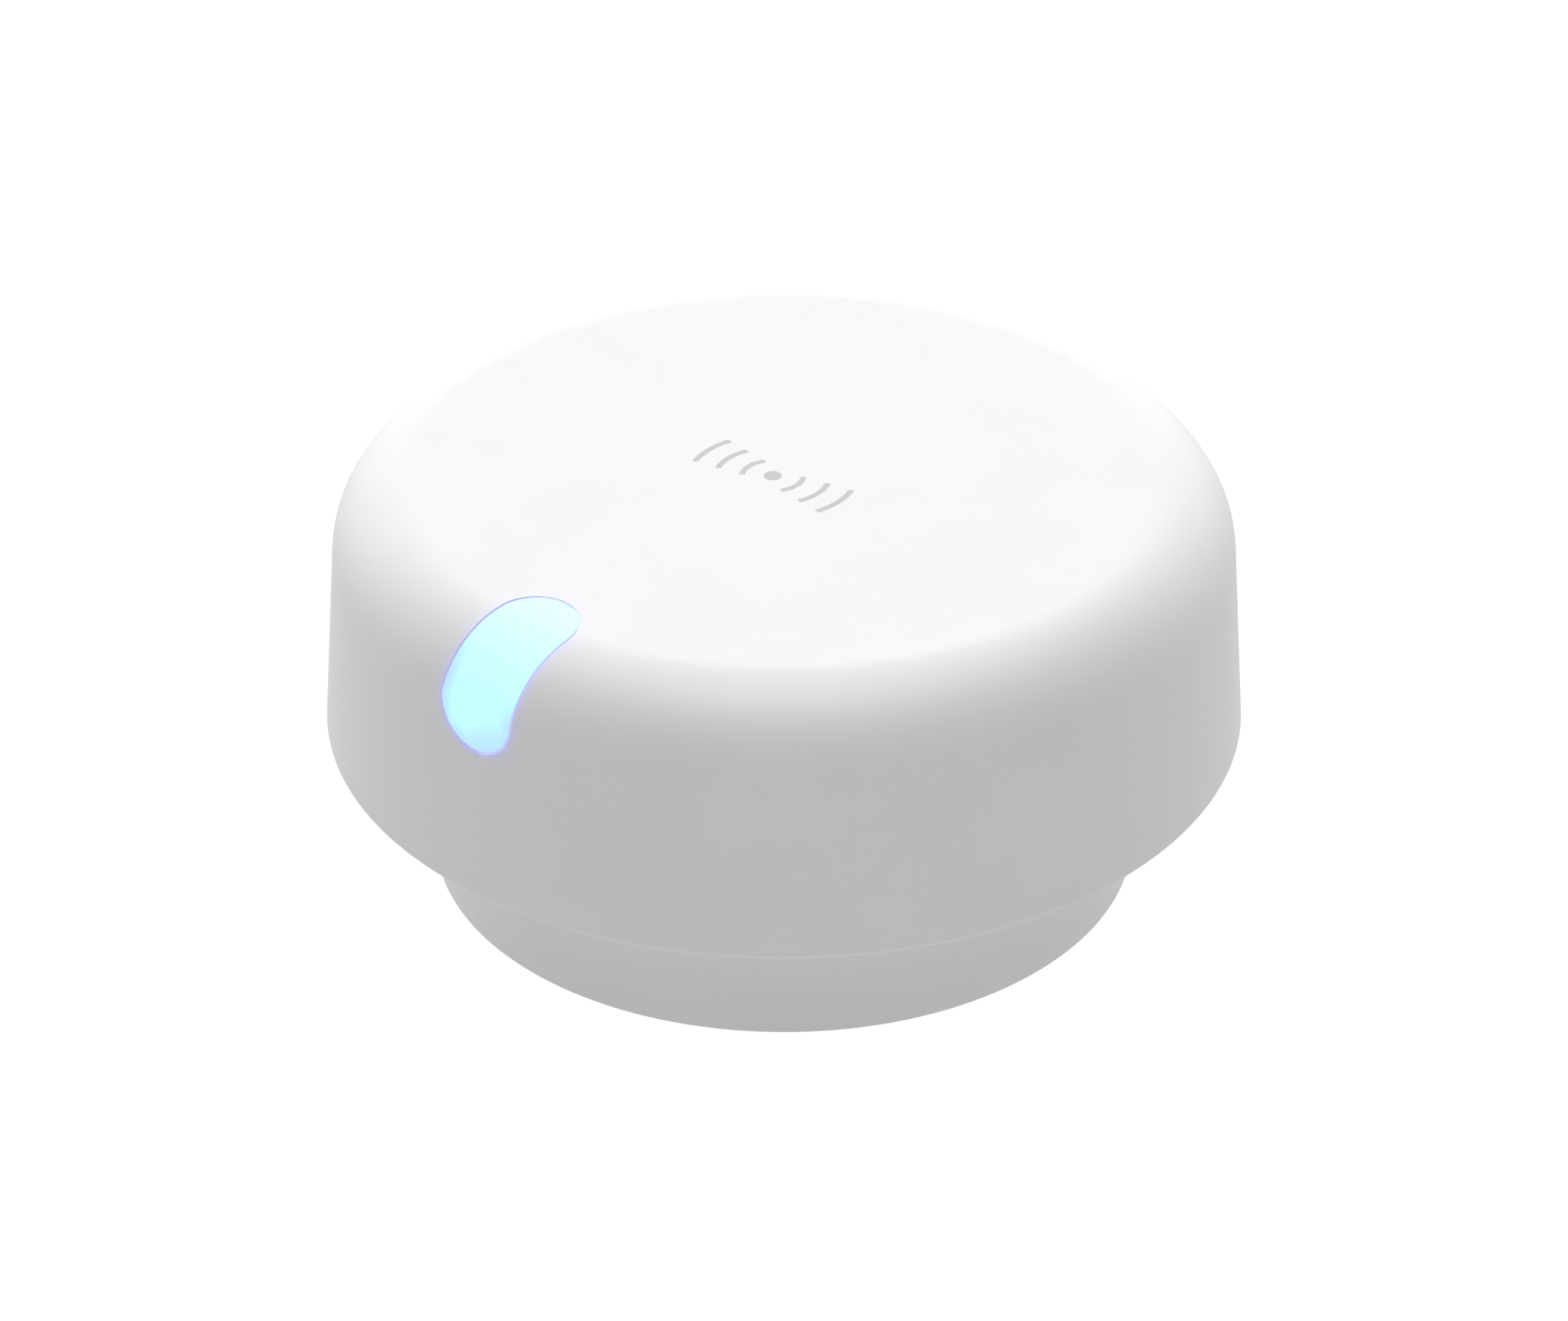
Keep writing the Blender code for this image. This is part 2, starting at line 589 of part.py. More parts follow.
# ---------------------------------------------------------------- boards and their parts
def make_main_board(head):
    far_x, half = BOARD_TAB
    edge = math.degrees(math.asin(half / BOARD_RADIUS))
    outline = arc((0, 0), BOARD_RADIUS, -180 + edge, 180 - edge, BOARD_STEPS)
    board = extruded("main_board", outline + [(far_x, half), (far_x, -half)], BOARD_LOW,
                     BOARD_TOP, head)
    holes = places_on(BOARD_SCREWS) + places_on(FRAME_SCREWS)
    bore_all(board, holes, HOLE_RADIUS, BOARD_LOW - OVERLAP, BOARD_TOP + OVERLAP, head)
    finish(board, GREEN_BOARD)

    (left, right), (front, back), height = SHIELD_CAN
    can = block("shield_can", (left, right), (front, back), (PARTS_LOW, PARTS_LOW + height), head)
    cut(can, block("can_hollow", (left + CAN_WALL, right - CAN_WALL),
                   (front + CAN_WALL, back - CAN_WALL),
                   (PARTS_LOW - OVERLAP, PARTS_LOW + height - CAN_WALL), head))
    finish(can, STEEL)
    for name, x_span, y_span, height in BOARD_BLOCKS:
        finish(block(name, x_span, y_span, (PARTS_LOW, PARTS_LOW + height), head), BLACK_PLASTIC)
    for number, (x, y) in enumerate(CAPACITOR_PLACES, 1):
        finish(drum("capacitor_%d" % number, *CAPACITOR_SPAN, head, (x, y, 0)), CERAMIC)


def make_socket(head):
    outer = rounded_slot(SOCKET_HALF_WIDTH, SOCKET_HALF_HEIGHT, SOCKET_Z)
    inner = rounded_slot(SOCKET_HALF_WIDTH - SOCKET_WALL, SOCKET_HALF_HEIGHT - SOCKET_WALL,
                         SOCKET_Z)
    shell = extruded("usb_socket_shell", outer, SOCKET_MOUTH_X, SOCKET_BACK_X, head, along="X")
    back = SOCKET_BACK_X - SOCKET_BACK_WALL
    cut(shell, extruded("socket_hollow", inner, SOCKET_MOUTH_X - 1.0, back, head, along="X"))
    finish(shell, STEEL)
    half_width, half_height = TONGUE_HALF
    tongue = block("usb_socket_tongue", (TONGUE_START_X, back - GAP), (-half_width, half_width),
                   (SOCKET_Z - half_height, SOCKET_Z + half_height), head)
    half_width, half_height = TONGUE_ROOT_HALF
    join(tongue, block("root", TONGUE_ROOT_X, (-half_width, half_width),
                       (SOCKET_Z - half_height, SOCKET_Z + half_height), head))
    finish(tongue, BLACK_PLASTIC)


def make_inner_frame(head, button):
    inner, outer, low, high = FRAME_RING
    ring = [(inner, low), (outer, low), (outer, high), (inner, high)]
    frame = turned("inner_frame", ring, FRAME_STEPS, head)
    post_places = places_on(FRAME_SCREWS)
    for place in post_places:
        join(frame, drum("post", FRAME_POST_RADIUS, PARTS_LOW, low + FRAME_POST_OVERLAP, head, place))
    shallow, deep = BACK_PLATE
    join(frame, block("back_plate", *BACK_PLATE_SPANS, (-deep, -shallow), button))
    shank_end = BOARD_LOW + FRAME_SCREW_BITE
    bore_all(frame, post_places, HOLE_RADIUS, BOARD_LOW, shank_end + SCREW_END_ROOM, head)
    radar_places = [(x, y, 0) for x, y in RADAR_SCREW_PLACES]
    bore_all(frame, radar_places, RADAR_HOLE_RADIUS, low - OVERLAP, high + OVERLAP, head)
    finish(frame, GREY_PLASTIC)
    seat = BOARD_LOW - GAP
    for number, place in enumerate(post_places, 1):
        screw("frame_screw_%d" % number, head, place, (seat, seat - SCREW_HEAD), shank_end)


def antenna_outline():
    """Four columns of joined patches rising from one feed line."""
    bus_low, bus_top = FEED_LINE
    points = [(-FEED_REACH, bus_low), (-FEED_REACH, bus_top)]
    for column in PATCH_COLUMNS:
        climb = [(column - FEED_HALF, bus_top)]
        for row in range(PATCH_ROWS):
            low = bus_top + FEED_GAP + PATCH_PITCH * row
            high = low + PATCH_LENGTH
            climb += [(column - FEED_HALF, low), (column - PATCH_HALF, low),
                      (column - PATCH_HALF, high), (column - FEED_HALF, high)]
        climb = climb[:-1]
        points += climb + [(2 * column - x, y) for x, y in climb[::-1]]
    return points + [(FEED_REACH, bus_top), (FEED_REACH, bus_low)]


def make_radar_board(head):
    span = (-RADAR_HALF, RADAR_HALF)
    board = block("radar_board", span, span, (RADAR_LOW, RADAR_TOP), head)
    places = [(x, y, 0) for x, y in RADAR_SCREW_PLACES]
    bore_all(board, places, RADAR_HOLE_RADIUS, RADAR_LOW - OVERLAP, RADAR_TOP + OVERLAP, head)
    finish(board, GREEN_BOARD)
    finish(block("radar_chip", *RADAR_CHIP, head), BLACK_PLASTIC)
    finish(extruded("antenna_array", antenna_outline(), RADAR_PARTS_LOW,
                    RADAR_PARTS_LOW + PATCH_THICKNESS, head), COPPER)
    finish(block("radar_connector", *CONNECTOR, (RADAR_CONNECTOR_LOW, RADAR_LOW - GAP), head),
           BLACK_PLASTIC)
    shank, wide, shank_end, height = RADAR_SCREW
    crown = RADAR_PARTS_LOW + height
    profile = [(0, shank_end), (shank, shank_end), (shank, RADAR_PARTS_LOW),
               (wide, RADAR_PARTS_LOW), (wide, crown), (0, crown)]
    for number, place in enumerate(places, 1):
        finish(turned("radar_screw_%d" % number, profile, SCREW_STEPS, head, place), STEEL)


def ribbon(name, middle_line, x_span, head):
    """A flat cable that follows a line in YZ."""
    left, right = [], []
    last = len(middle_line) - 1
    for index, point in enumerate(middle_line):
        before = Vector(middle_line[max(index - 1, 0)])
        after = Vector(middle_line[min(index + 1, last)])
        run = (after - before).normalized()
        side = Vector((-run.y, run.x)) * RIBBON_THICKNESS / 2
        left.append((point[0] + side.x, point[1] + side.y))
        right.append((point[0] - side.x, point[1] - side.y))
    outline = left + right[::-1]
    finish(extruded(name, outline, x_span[0], x_span[1], head, along="X"), RIBBON)


def make_ribbons(head):
    low = PARTS_LOW + CONNECTOR_HEIGHT + GAP
    high = RADAR_CONNECTOR_LOW - GAP
    rise, sweep = [], []
    pulls = [Vector(pull) for pull in BUTTON_RIBBON_PULLS]
    for step in range(RIBBON_STEPS + 1):
        t = step / RIBBON_STEPS
        rise.append((RADAR_RIBBON_Y + RADAR_RIBBON_BOW * math.sin(2 * math.pi * t),
                     low + (high - low) * t))
        weights = ((1 - t) ** 3, 3 * t * (1 - t) ** 2, 3 * t * t * (1 - t), t ** 3)
        point = sum((pull * weight for pull, weight in zip(pulls, weights)), Vector((0, 0)))
        sweep.append((point.x, point.y))
    ribbon("radar_ribbon", rise, RADAR_RIBBON_X, head)
    ribbon("button_ribbon", sweep, BUTTON_RIBBON_X, head)


# ---------------------------------------------------------------- lit button
def make_button_board(head, button):
    """Fixed pieces behind the button; depths run inwards along its travel."""
    shallow, deep = BUTTON_BOARD
    finish(block("button_board", *BUTTON_BOARD_SPANS, (-deep, -shallow), button), GREEN_BOARD)
    top, bottom = BOARD_PARTS
    for number, x in enumerate((-LED_X, LED_X), 1):
        finish(block("status_led_%d" % number, (x - LED_HALF, x + LED_HALF),
                     (LED_Y - LED_HALF, LED_Y + LED_HALF), (-bottom, -top), button), CERAMIC)
    finish(block("light_sensor", *SENSOR_SPANS, (-bottom, -top), button), BLACK_PLASTIC)
    top, bottom = SWITCH
    body = block("switch_body", (-SWITCH_HALF, SWITCH_HALF),
                 (SWITCH_V - SWITCH_HALF, SWITCH_V + SWITCH_HALF), (-bottom, -top), button)
    cut(body, drum("plunger_hole", *PLUNGER_HOLE, button, (0, SWITCH_V, 0)))
    finish(body, BLACK_PLASTIC)
    baffle = block("light_baffle", *BAFFLE_OUTSIDE, button)
    keep(baffle, head_core("core", BUTTON_DEPTH + BAFFLE_CLEARANCE, head))
    cut(baffle, block("baffle_hole", *BAFFLE_INSIDE, button))
    finish(baffle, WHITE_PLASTIC)


def make_button(head, button):
    cap = button_prism("light_button", -GAP / 2, PRISM_DEPTH, PRISM_HEIGHT, button)
    keep(cap, head_skin("skin", 0, BUTTON_DEPTH, head))
    flange = button_prism("flange", FLANGE_WIDTH, PRISM_DEPTH + OVERLAP, 0.0, button)
    keep(flange, head_skin("skin", WALL + GAP, FLANGE_LOW, head))
    join(cap, flange)
    join(cap, drum("stem", STEM_RADIUS, -STEM_END, -STEM_START, button, (0, SWITCH_V, 0)))
    finish(cap, LIT_PLASTIC)
    finish(drum("switch_plunger", *PLUNGER, button, (0, SWITCH_V, 0)), WHITE_PLASTIC)


def main():
    for old in list(bpy.data.objects):
        bpy.data.objects.remove(old)
    stand = axis_frame("stand", None, (0, 0, 0))
    tilt = axis_frame("tilt_axis", stand, (0, HINGE_Y, HINGE_Z))
    head = axis_frame("swivel_axis", tilt, (0, -HINGE_Y, -HINGE_Z))
    button = axis_frame("button_axis", head, (0, SHOULDER_MID_Y, SHOULDER_MID_Z), BUTTON_TILT)
    make_stand(stand)
    make_hub(tilt)
    make_front_shell(head, button)
    make_rear_shell(head)
    make_wave_washer(head)
    make_main_board(head)
    make_socket(head)
    make_inner_frame(head, button)
    make_radar_board(head)
    make_ribbons(head)
    make_button_board(head, button)
    make_button(head, button)


main()
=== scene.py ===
"""The looks of a round presence sensor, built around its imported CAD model.

The white shells, the lit button, the stand and the socket are remade here as fine meshes, and
every other piece keeps its CAD mesh with a procedural material.  Lengths are in millimetres
until MM turns them into metres, and +Z is up.
"""
import json
import math

import bmesh
import bpy
from mathutils import Matrix, Vector
from mathutils.geometry import delaunay_2d_cdt


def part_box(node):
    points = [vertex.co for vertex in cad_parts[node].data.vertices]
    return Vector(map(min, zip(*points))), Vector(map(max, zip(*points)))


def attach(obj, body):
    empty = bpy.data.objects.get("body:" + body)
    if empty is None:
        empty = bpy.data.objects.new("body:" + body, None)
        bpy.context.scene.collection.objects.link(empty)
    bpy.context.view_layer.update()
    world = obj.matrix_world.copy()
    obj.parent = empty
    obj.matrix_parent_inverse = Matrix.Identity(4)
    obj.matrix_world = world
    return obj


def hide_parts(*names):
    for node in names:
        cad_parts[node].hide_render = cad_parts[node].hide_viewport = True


MM = 0.001
BISECTIONS = 48
SAME_SPOT = 1e-9      # flat points this close are merged when a region is filled
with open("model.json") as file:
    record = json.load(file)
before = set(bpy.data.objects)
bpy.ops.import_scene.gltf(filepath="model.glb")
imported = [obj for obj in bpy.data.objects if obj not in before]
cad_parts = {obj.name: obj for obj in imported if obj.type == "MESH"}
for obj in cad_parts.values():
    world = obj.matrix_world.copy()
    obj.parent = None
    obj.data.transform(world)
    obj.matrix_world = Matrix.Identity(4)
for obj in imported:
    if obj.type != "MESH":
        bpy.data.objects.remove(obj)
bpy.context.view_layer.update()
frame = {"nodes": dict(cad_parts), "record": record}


def span(node):
    """A CAD node's lowest and highest corners, in millimetres."""
    low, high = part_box(node)
    return low / MM, high / MM


# Driving sizes read from the frame
SHELL_LOW, SHELL_HIGH = span("front_shell")
HEAD_RADIUS = SHELL_HIGH.x
RIM_Z = SHELL_LOW.z
INK_PROUD = 0.012     # the printed mark stands this far out of the top face
TOP_Z = SHELL_HIGH.z - INK_PROUD
BASE_LOW, BASE_HIGH = span("base_shell")
STAND_RADIUS = BASE_HIGH.x
STAND_LOW = BASE_LOW.z
HUB_LOW, HUB_HIGH = span("hub_plate")
REAR_LOW, REAR_HIGH = span("rear_shell")
FOOT_LOW, FOOT_HIGH = span("foot_pad")
SOCKET_LOW, SOCKET_HIGH = span("usb_socket_shell")
PIN_LOW, PIN_HIGH = span("hinge_pin")

# Form of the head
DRAFT = math.radians(4.28)
SHOULDER_RADIUS = 5.6
WALL = 2.0
RIM_ROUND = 0.12
RIM_STEPS = 4
COLUMNS = 256
TOP_ROWS = 11
ARC_STEPS = 20
WALL_ROWS = 16
WINDOW_MARGIN = 1.6   # a window in the grid reaches this far past its opening
WINDOW_CLEAR = 0.3    # grid points closer than this to an opening are left out
SHOULDER_Z = TOP_Z - SHOULDER_RADIUS
SHOULDER_R = (HEAD_RADIUS - (SHOULDER_Z - RIM_Z) * math.tan(DRAFT)
              - SHOULDER_RADIUS / math.cos(DRAFT))

# Lit button: a pill pressed at 45 degrees into the shoulder
HALF = math.sqrt(0.5)
PRESS = Vector((0, HALF, -HALF))
CLIMB = Vector((0, HALF, HALF))
SHOULDER_MID = Vector((0, -(SHOULDER_R + SHOULDER_RADIUS * HALF),
                       SHOULDER_Z + SHOULDER_RADIUS * HALF))
PILL_HALF_WIDTH = 3.06
PILL_HIGH = (3.62, 2.19)    # above the middle: straight side's length, round end's reach
PILL_LOW = (3.17, 2.30)     # and below it
PILL_LEAN = math.radians(7.3)
PILL_STEPS = 40
SIDE_STEPS = 10
SKIN_ROWS = 44
SKIN_COLUMNS = 14
SKIN_CLEAR = 0.2      # skin points closer than this to the outline are left out
PRESS_START = 12.0    # the whole button lies further along the head's profile than this
SEAM = 0.045          # half of the gap between button and shell
EDGE_ROUND = 0.07     # radius on both of the gap's edges
EDGE_STEPS = 4
BUTTON_DEPTH = 3.3
FLANGE = 0.85
FLANGE_INSET = 2.3
SOCKET_AIR = 0.15     # gap around the power socket
SLOT_END_STEPS = 24
SLOT_SIDE_STEPS = 10


# ---------------- meshes
def face_between(ring, after, step):
    """Corners of one face between two closed rings; beside a ring of one point, a triangle."""
    follow = (step + 1) % max(len(ring), len(after))
    corners = [ring[step % len(ring)], ring[follow % len(ring)],
               after[follow % len(after)], after[step % len(after)]]
    return list(dict.fromkeys(corners))


def from_bmesh(name, mesh_data):
    """Make an object whose faces all point out."""
    bmesh.ops.recalc_face_normals(mesh_data, faces=mesh_data.faces)
    mesh = bpy.data.meshes.new(name)
    mesh_data.to_mesh(mesh)
    mesh_data.free()
    piece = bpy.data.objects.new(name, mesh)
    bpy.context.scene.collection.objects.link(piece)
    return piece


class Build:
    """Collects points with their own normals, and the faces between them."""

    def __init__(self):
        self.points = []
        self.normals = []
        self.faces = []

    def add(self, point, normal):
        self.points.append(Vector(point))
        self.normals.append(Vector(normal).normalized())
        return len(self.points) - 1

    def strips(self, rings):
        """Cover the walls between neighbouring rings of the same length."""
        for ring, after in zip(rings, rings[1:]):
            self.faces += [face_between(ring, after, step) for step in range(len(ring))]

    def solid(self, name):
        """Make a closed object that is shaded by these normals."""
        mesh_data = bmesh.new()
        points = [mesh_data.verts.new(point * MM) for point in self.points]
        for face in self.faces:
            mesh_data.faces.new([points[index] for index in face])
        if not all(edge.is_manifold for edge in mesh_data.edges):
            print("NOTE open edges in", name)
        piece = from_bmesh(name, mesh_data)
        piece.data.shade_smooth()
        piece.data.normals_split_custom_set_from_vertices([tuple(n) for n in self.normals])
        return piece


def head_line(inset):
    """The head's profile moved inwards: a function from length along it, and its corners."""
    radius = SHOULDER_RADIUS - inset
    arc_length = radius * (math.pi / 2 - DRAFT)
    wall_start = SHOULDER_R + arc_length
    foot_r = SHOULDER_R + radius * math.cos(DRAFT)
    foot_z = SHOULDER_Z + radius * math.sin(DRAFT)
    wall_end = wall_start + (foot_z - RIM_Z) / math.cos(DRAFT)

    def at(s):
        if s <= SHOULDER_R:
            return s, TOP_Z - inset, math.pi / 2
        if s <= wall_start:
            lean = math.pi / 2 - (s - SHOULDER_R) / radius
            return (SHOULDER_R + radius * math.cos(lean), SHOULDER_Z + radius * math.sin(lean),
                    lean)
        run = s - wall_start
        return foot_r + run * math.sin(DRAFT), foot_z - run * math.cos(DRAFT), DRAFT

    return at, wall_start, wall_end


def turned_point(radius, height, angle):
    return Vector((radius * math.cos(angle), radius * math.sin(angle), height))


def head_point(inset, s, angle):
    """A point on the inset head surface, and its outward normal."""
    radius, height, lean = head_line(inset)[0](s)
    point = turned_point(radius, height, angle)
    return point, turned_point(math.cos(lean), math.sin(lean), angle)


def solve(function, low, high):
    """The place between low and high where a falling function crosses zero."""
    for _ in range(BISECTIONS):
        middle = (low + high) / 2
        if function(middle) > 0:
            low = middle
        else:
            high = middle
    return (low + high) / 2


def along_press(inset, x, climb):
    """Where a line along the button's travel meets the inset head: (angle, length)."""
    at, _, end = head_line(inset)

    def height(s):
        radius, z, _ = at(s)
        y = -math.sqrt(max(radius * radius - x * x, 0))
        return (Vector((0, y, z)) - SHOULDER_MID).dot(CLIMB) - climb

    s = solve(height, PRESS_START, end)
    radius = at(s)[0]
    return math.atan2(-math.sqrt(radius * radius - x * x), x) % (2 * math.pi), s


def along_x(inset, y, z):
    """Where a line along X meets the inset head's wall at -X: (angle, length)."""
    at, _, end = head_line(inset)
    s = solve(lambda length: at(length)[1] - z, SHOULDER_R, end)
    return math.pi - math.asin(y / at(s)[0]), s


def leaned(point):
    """Turn an upright outline's (x, climb) point to the button's own lean."""
    x, climb = point
    return (x * math.cos(PILL_LEAN) + climb * math.sin(PILL_LEAN),
            climb * math.cos(PILL_LEAN) - x * math.sin(PILL_LEAN))


def pill(grow):
    """The button's outline in (x, climb), with the direction out of it at each point."""
    half = PILL_HALF_WIDTH + grow
    points = []
    for (start, reach), side in ((PILL_HIGH, 1), (PILL_LOW, -1)):
        reach += grow
        for step in range(PILL_STEPS + 1):
            turn = math.pi * step / PILL_STEPS
            points.append(((side * half * math.cos(turn), side * (start + reach * math.sin(turn))),
                           (side * math.cos(turn) / half, side * math.sin(turn) / reach)))
        length = PILL_HIGH[0] + PILL_LOW[0]
        for step in range(1, SIDE_STEPS):
            climb = side * (start - length * step / SIDE_STEPS)
            points.append(((-side * half, climb), (-side, 0)))
    return [(leaned(point), leaned(out)) for point, out in points]


def slot(grow):
    """The socket's outline in (y, z), with the direction out of it at each point."""
    half_height = (SOCKET_HIGH.z - SOCKET_LOW.z) / 2 + grow
    reach = (SOCKET_HIGH.y - SOCKET_LOW.y) / 2 + grow - half_height
    middle = (SOCKET_HIGH.z + SOCKET_LOW.z) / 2
    points = []
    for side in (1, -1):
        for step in range(SLOT_END_STEPS + 1):
            turn = math.pi * (step / SLOT_END_STEPS - 0.5)
            out = (side * math.cos(turn), side * math.sin(turn))
            points.append(((side * reach + half_height * out[0], middle + half_height * out[1]),
                           out))
        for step in range(1, SLOT_SIDE_STEPS):
            y = side * (reach - 2 * reach * step / SLOT_SIDE_STEPS)
            points.append(((y, middle + side * half_height), (0, side)))
    return points


def fill(build, outer, spots, inner=()):
    """Triangles over the flat region of an outline, through the spots and around a hole.

    Each entry is (flat point, index of its point in build)."""
    entries = [*outer, *inner, *spots]
    flat = [Vector(entry[0]) for entry in entries]
    count = len(outer)
    edges = [(k, (k + 1) % count) for k in range(count)]
    edges += [(count + k, count + (k + 1) % len(inner)) for k in range(len(inner))]
    verts, _, faces, sources, _, _ = delaunay_2d_cdt(flat, edges, [], 0, SAME_SPOT)
    border, hole = flat[:count], flat[count:count + len(inner)]
    for face in faces:
        middle = sum((verts[k] for k in face), Vector((0, 0))) / len(face)
        if inside(middle, border) and not inside(middle, hole):
            build.faces.append([entries[sources[k][0]][1] for k in face])


def inside(point, outline):
    """Whether a flat point lies within an outline."""
    found = False
    for here, there in zip(outline, outline[1:] + outline[:1]):
        if (here.y > point.y) != (there.y > point.y):
            cross = here.x + (point.y - here.y) * (there.x - here.x) / (there.y - here.y)
            if point.x < cross:
                found = not found
    return found


def clear_of(point, outline, distance):
    return all((point - other).length > distance for other in outline)


def turned_rows(build, rows):
    """Rings of points for rows of (radius, height, lean of the normal)."""
    grid = []
    for radius, height, lean in rows:
        count = COLUMNS if radius > 0 else 1
        ring = []
        for column in range(count):
            angle = 2 * math.pi * column / COLUMNS
            normal = turned_point(math.cos(lean), math.sin(lean), angle)
            ring.append(build.add(turned_point(radius, height, angle), normal))
        grid.append(ring)
    return grid


def flattened(places, ring):
    """Entries for fill from (angle, length) places on the head and their indices."""
    return [((angle * HEAD_RADIUS, length), index) for (angle, length), index in zip(places, ring)]


def window(build, grid, lengths, rows, columns, places, ring):
    """Fill part of a turned grid around an opening.

    lengths are the rows' lengths along the profile, rows and columns the part's limits,
    places the opening's (angle, length) points and ring their indices."""
    first_row, last_row = rows
    first_column, last_column = columns
    scale = HEAD_RADIUS * 2 * math.pi / COLUMNS
    border = [(first_row, column) for column in range(first_column, last_column)]
    border += [(row, last_column) for row in range(first_row, last_row)]
    border += [(last_row, column) for column in range(last_column, first_column, -1)]
    border += [(row, first_column) for row in range(last_row, first_row, -1)]
    outer = [((column * scale, lengths[row]), grid[row][column]) for row, column in border]
    hole = flattened(places, ring)
    hole_flat = [Vector(flat) for flat, _ in hole]
    spots = []
    for row in range(first_row + 1, last_row):
        for column in range(first_column + 1, last_column):
            point = Vector((column * scale, lengths[row]))
            if not inside(point, hole_flat) and clear_of(point, hole_flat, WINDOW_CLEAR):
                spots.append((point, grid[row][column]))
    fill(build, outer, spots, hole)


def quads(build, grid, skips):
    """All the grid's faces apart from those inside the skipped parts."""
    for row in range(len(grid) - 1):
        ring, after = grid[row], grid[row + 1]
        for column in range(COLUMNS):
            if any(top <= row < bottom and left <= column < right
                   for (top, bottom), (left, right) in skips):
                continue
            build.faces.append(face_between(ring, after, column))


def drop_loose(build):
    """Forget the points that no face uses."""
    used = sorted({index for face in build.faces for index in face})
    places = {old: new for new, old in enumerate(used)}
    build.points = [build.points[index] for index in used]
    build.normals = [build.normals[index] for index in used]
    build.faces = [[places[index] for index in face] for face in build.faces]


# ---------------- head
def surface_ring(build, inset, outline, locate, turn_out=0.0, shift=Vector((0, 0, 0)), away=1.0):
    """A ring where an outline meets the inset head, moved by shift.

    Its normals lean by turn_out from the surface towards the opening's inside."""
    places, ring = [], []
    for flat, out in outline:
        angle, length = locate(inset, *flat)
        point, normal = head_point(inset, length, angle)
        places.append((angle, length))
        side = opening_side(locate, out) * away
        ring.append(build.add(point + shift,
                              normal * math.cos(turn_out) + side * math.sin(turn_out)))
    return places, ring


def opening_side(locate, out):
    """The 3-D direction, across an opening's travel, that points to the opening's middle."""
    if locate is along_press:
        side = Vector((out[0], 0, 0)) + CLIMB * out[1]
    else:
        side = Vector((0, out[0], out[1]))
    return -side.normalized()


def edge_rings(build, make_outline, locate, travel, grow, away):
    """The places of an edge, and rings that roll over it and run down the travel.

    away is 1 for an opening in a shell, whose edge rolls inwards, and -1 for a plug."""
    found = []
    for step in range(EDGE_STEPS + 1):
        turn = math.pi / 2 * step / EDGE_STEPS
        outline = make_outline(grow + away * EDGE_ROUND * (1 - math.sin(turn)))
        drop = travel * EDGE_ROUND * (1 - math.cos(turn))
        found.append(surface_ring(build, 0, outline, locate, turn, drop, away))
    return found[0][0], [ring for _, ring in found]


def head_rows(inset):
    """Rows over the head's outside or inside, from the axis to the rim."""
    at, wall_start, wall_end = head_line(inset)
    lengths = [SHOULDER_R * (1 - (1 - step / TOP_ROWS) ** 2) for step in range(TOP_ROWS + 1)]
    lengths += [SHOULDER_R + (wall_start - SHOULDER_R) * (step + 1) / ARC_STEPS
                for step in range(ARC_STEPS)]
    foot = wall_end - (RIM_ROUND if inset == 0 else 0)
    lengths += [wall_start + (foot - wall_start) * (step + 1) / WALL_ROWS
                for step in range(WALL_ROWS)]
    return lengths, [at(s) for s in lengths]


def first_past(lengths, value):
    return next(index for index, length in enumerate(lengths) if length > value)


def window_limits(lengths, places):
    """Rows and columns of the grid that hold an opening with some room around it."""
    angles, reaches = zip(*places)
    low, high = min(reaches) - WINDOW_MARGIN, max(reaches) + WINDOW_MARGIN
    step = 2 * math.pi / COLUMNS
    room = WINDOW_MARGIN / HEAD_RADIUS
    left, right = int((min(angles) - room) / step), int((max(angles) + room) / step) + 1
    return (first_past(lengths, low) - 1, first_past(lengths, high)), (left, right)


def make_front_shell():
    """The white head shell: turned, hollow, with the button's opening and the socket's slot."""
    build = Build()
    outer_lengths, outer_rows = head_rows(0)
    inner_lengths, inner_rows = head_rows(WALL)
    outer = turned_rows(build, outer_rows)
    rim = []
    end_r = outer_rows[-1][0]
    for step in range(1, RIM_STEPS + 1):
        lean = DRAFT - (math.pi / 2 + DRAFT) * step / RIM_STEPS
        rim.append((end_r - RIM_ROUND * (math.cos(DRAFT) - math.cos(lean)),
                    RIM_Z + RIM_ROUND * (1 + math.sin(lean)), lean))
    inner_r = inner_rows[-1][0]
    rim.append((inner_r + RIM_ROUND, RIM_Z, -math.pi / 2))
    rim.append((inner_r, RIM_Z + RIM_ROUND, math.pi))
    rim_grid = turned_rows(build, rim)
    inner_rows[-1] = (inner_r, RIM_Z + 2 * RIM_ROUND, DRAFT)
    inner = turned_rows(build, [(r, z, lean + math.pi) for r, z, lean in inner_rows])

    openings = ((pill, along_press, PRESS, SEAM), (slot, along_x, Vector((1, 0, 0)), SOCKET_AIR))
    outer_skips, inner_skips = [], []
    for outline, locate, travel, grow in openings:
        places, rings = edge_rings(build, outline, locate, travel, grow, 1.0)
        limits = window_limits(outer_lengths, places)
        window(build, outer, outer_lengths, *limits, places, rings[0])
        outer_skips.append(limits)
        places, last = surface_ring(build, WALL, outline(grow), locate, math.pi / 2)
        limits = window_limits(inner_lengths, places)
        window(build, inner, inner_lengths, *limits, places, last)
        inner_skips.append(limits)
        build.strips(rings + [last])
    quads(build, outer, outer_skips)
    quads(build, [outer[-1]] + rim_grid + [inner[-1]], [])
    quads(build, inner, inner_skips)
    drop_loose(build)
    return build.solid("front_shell_fine")


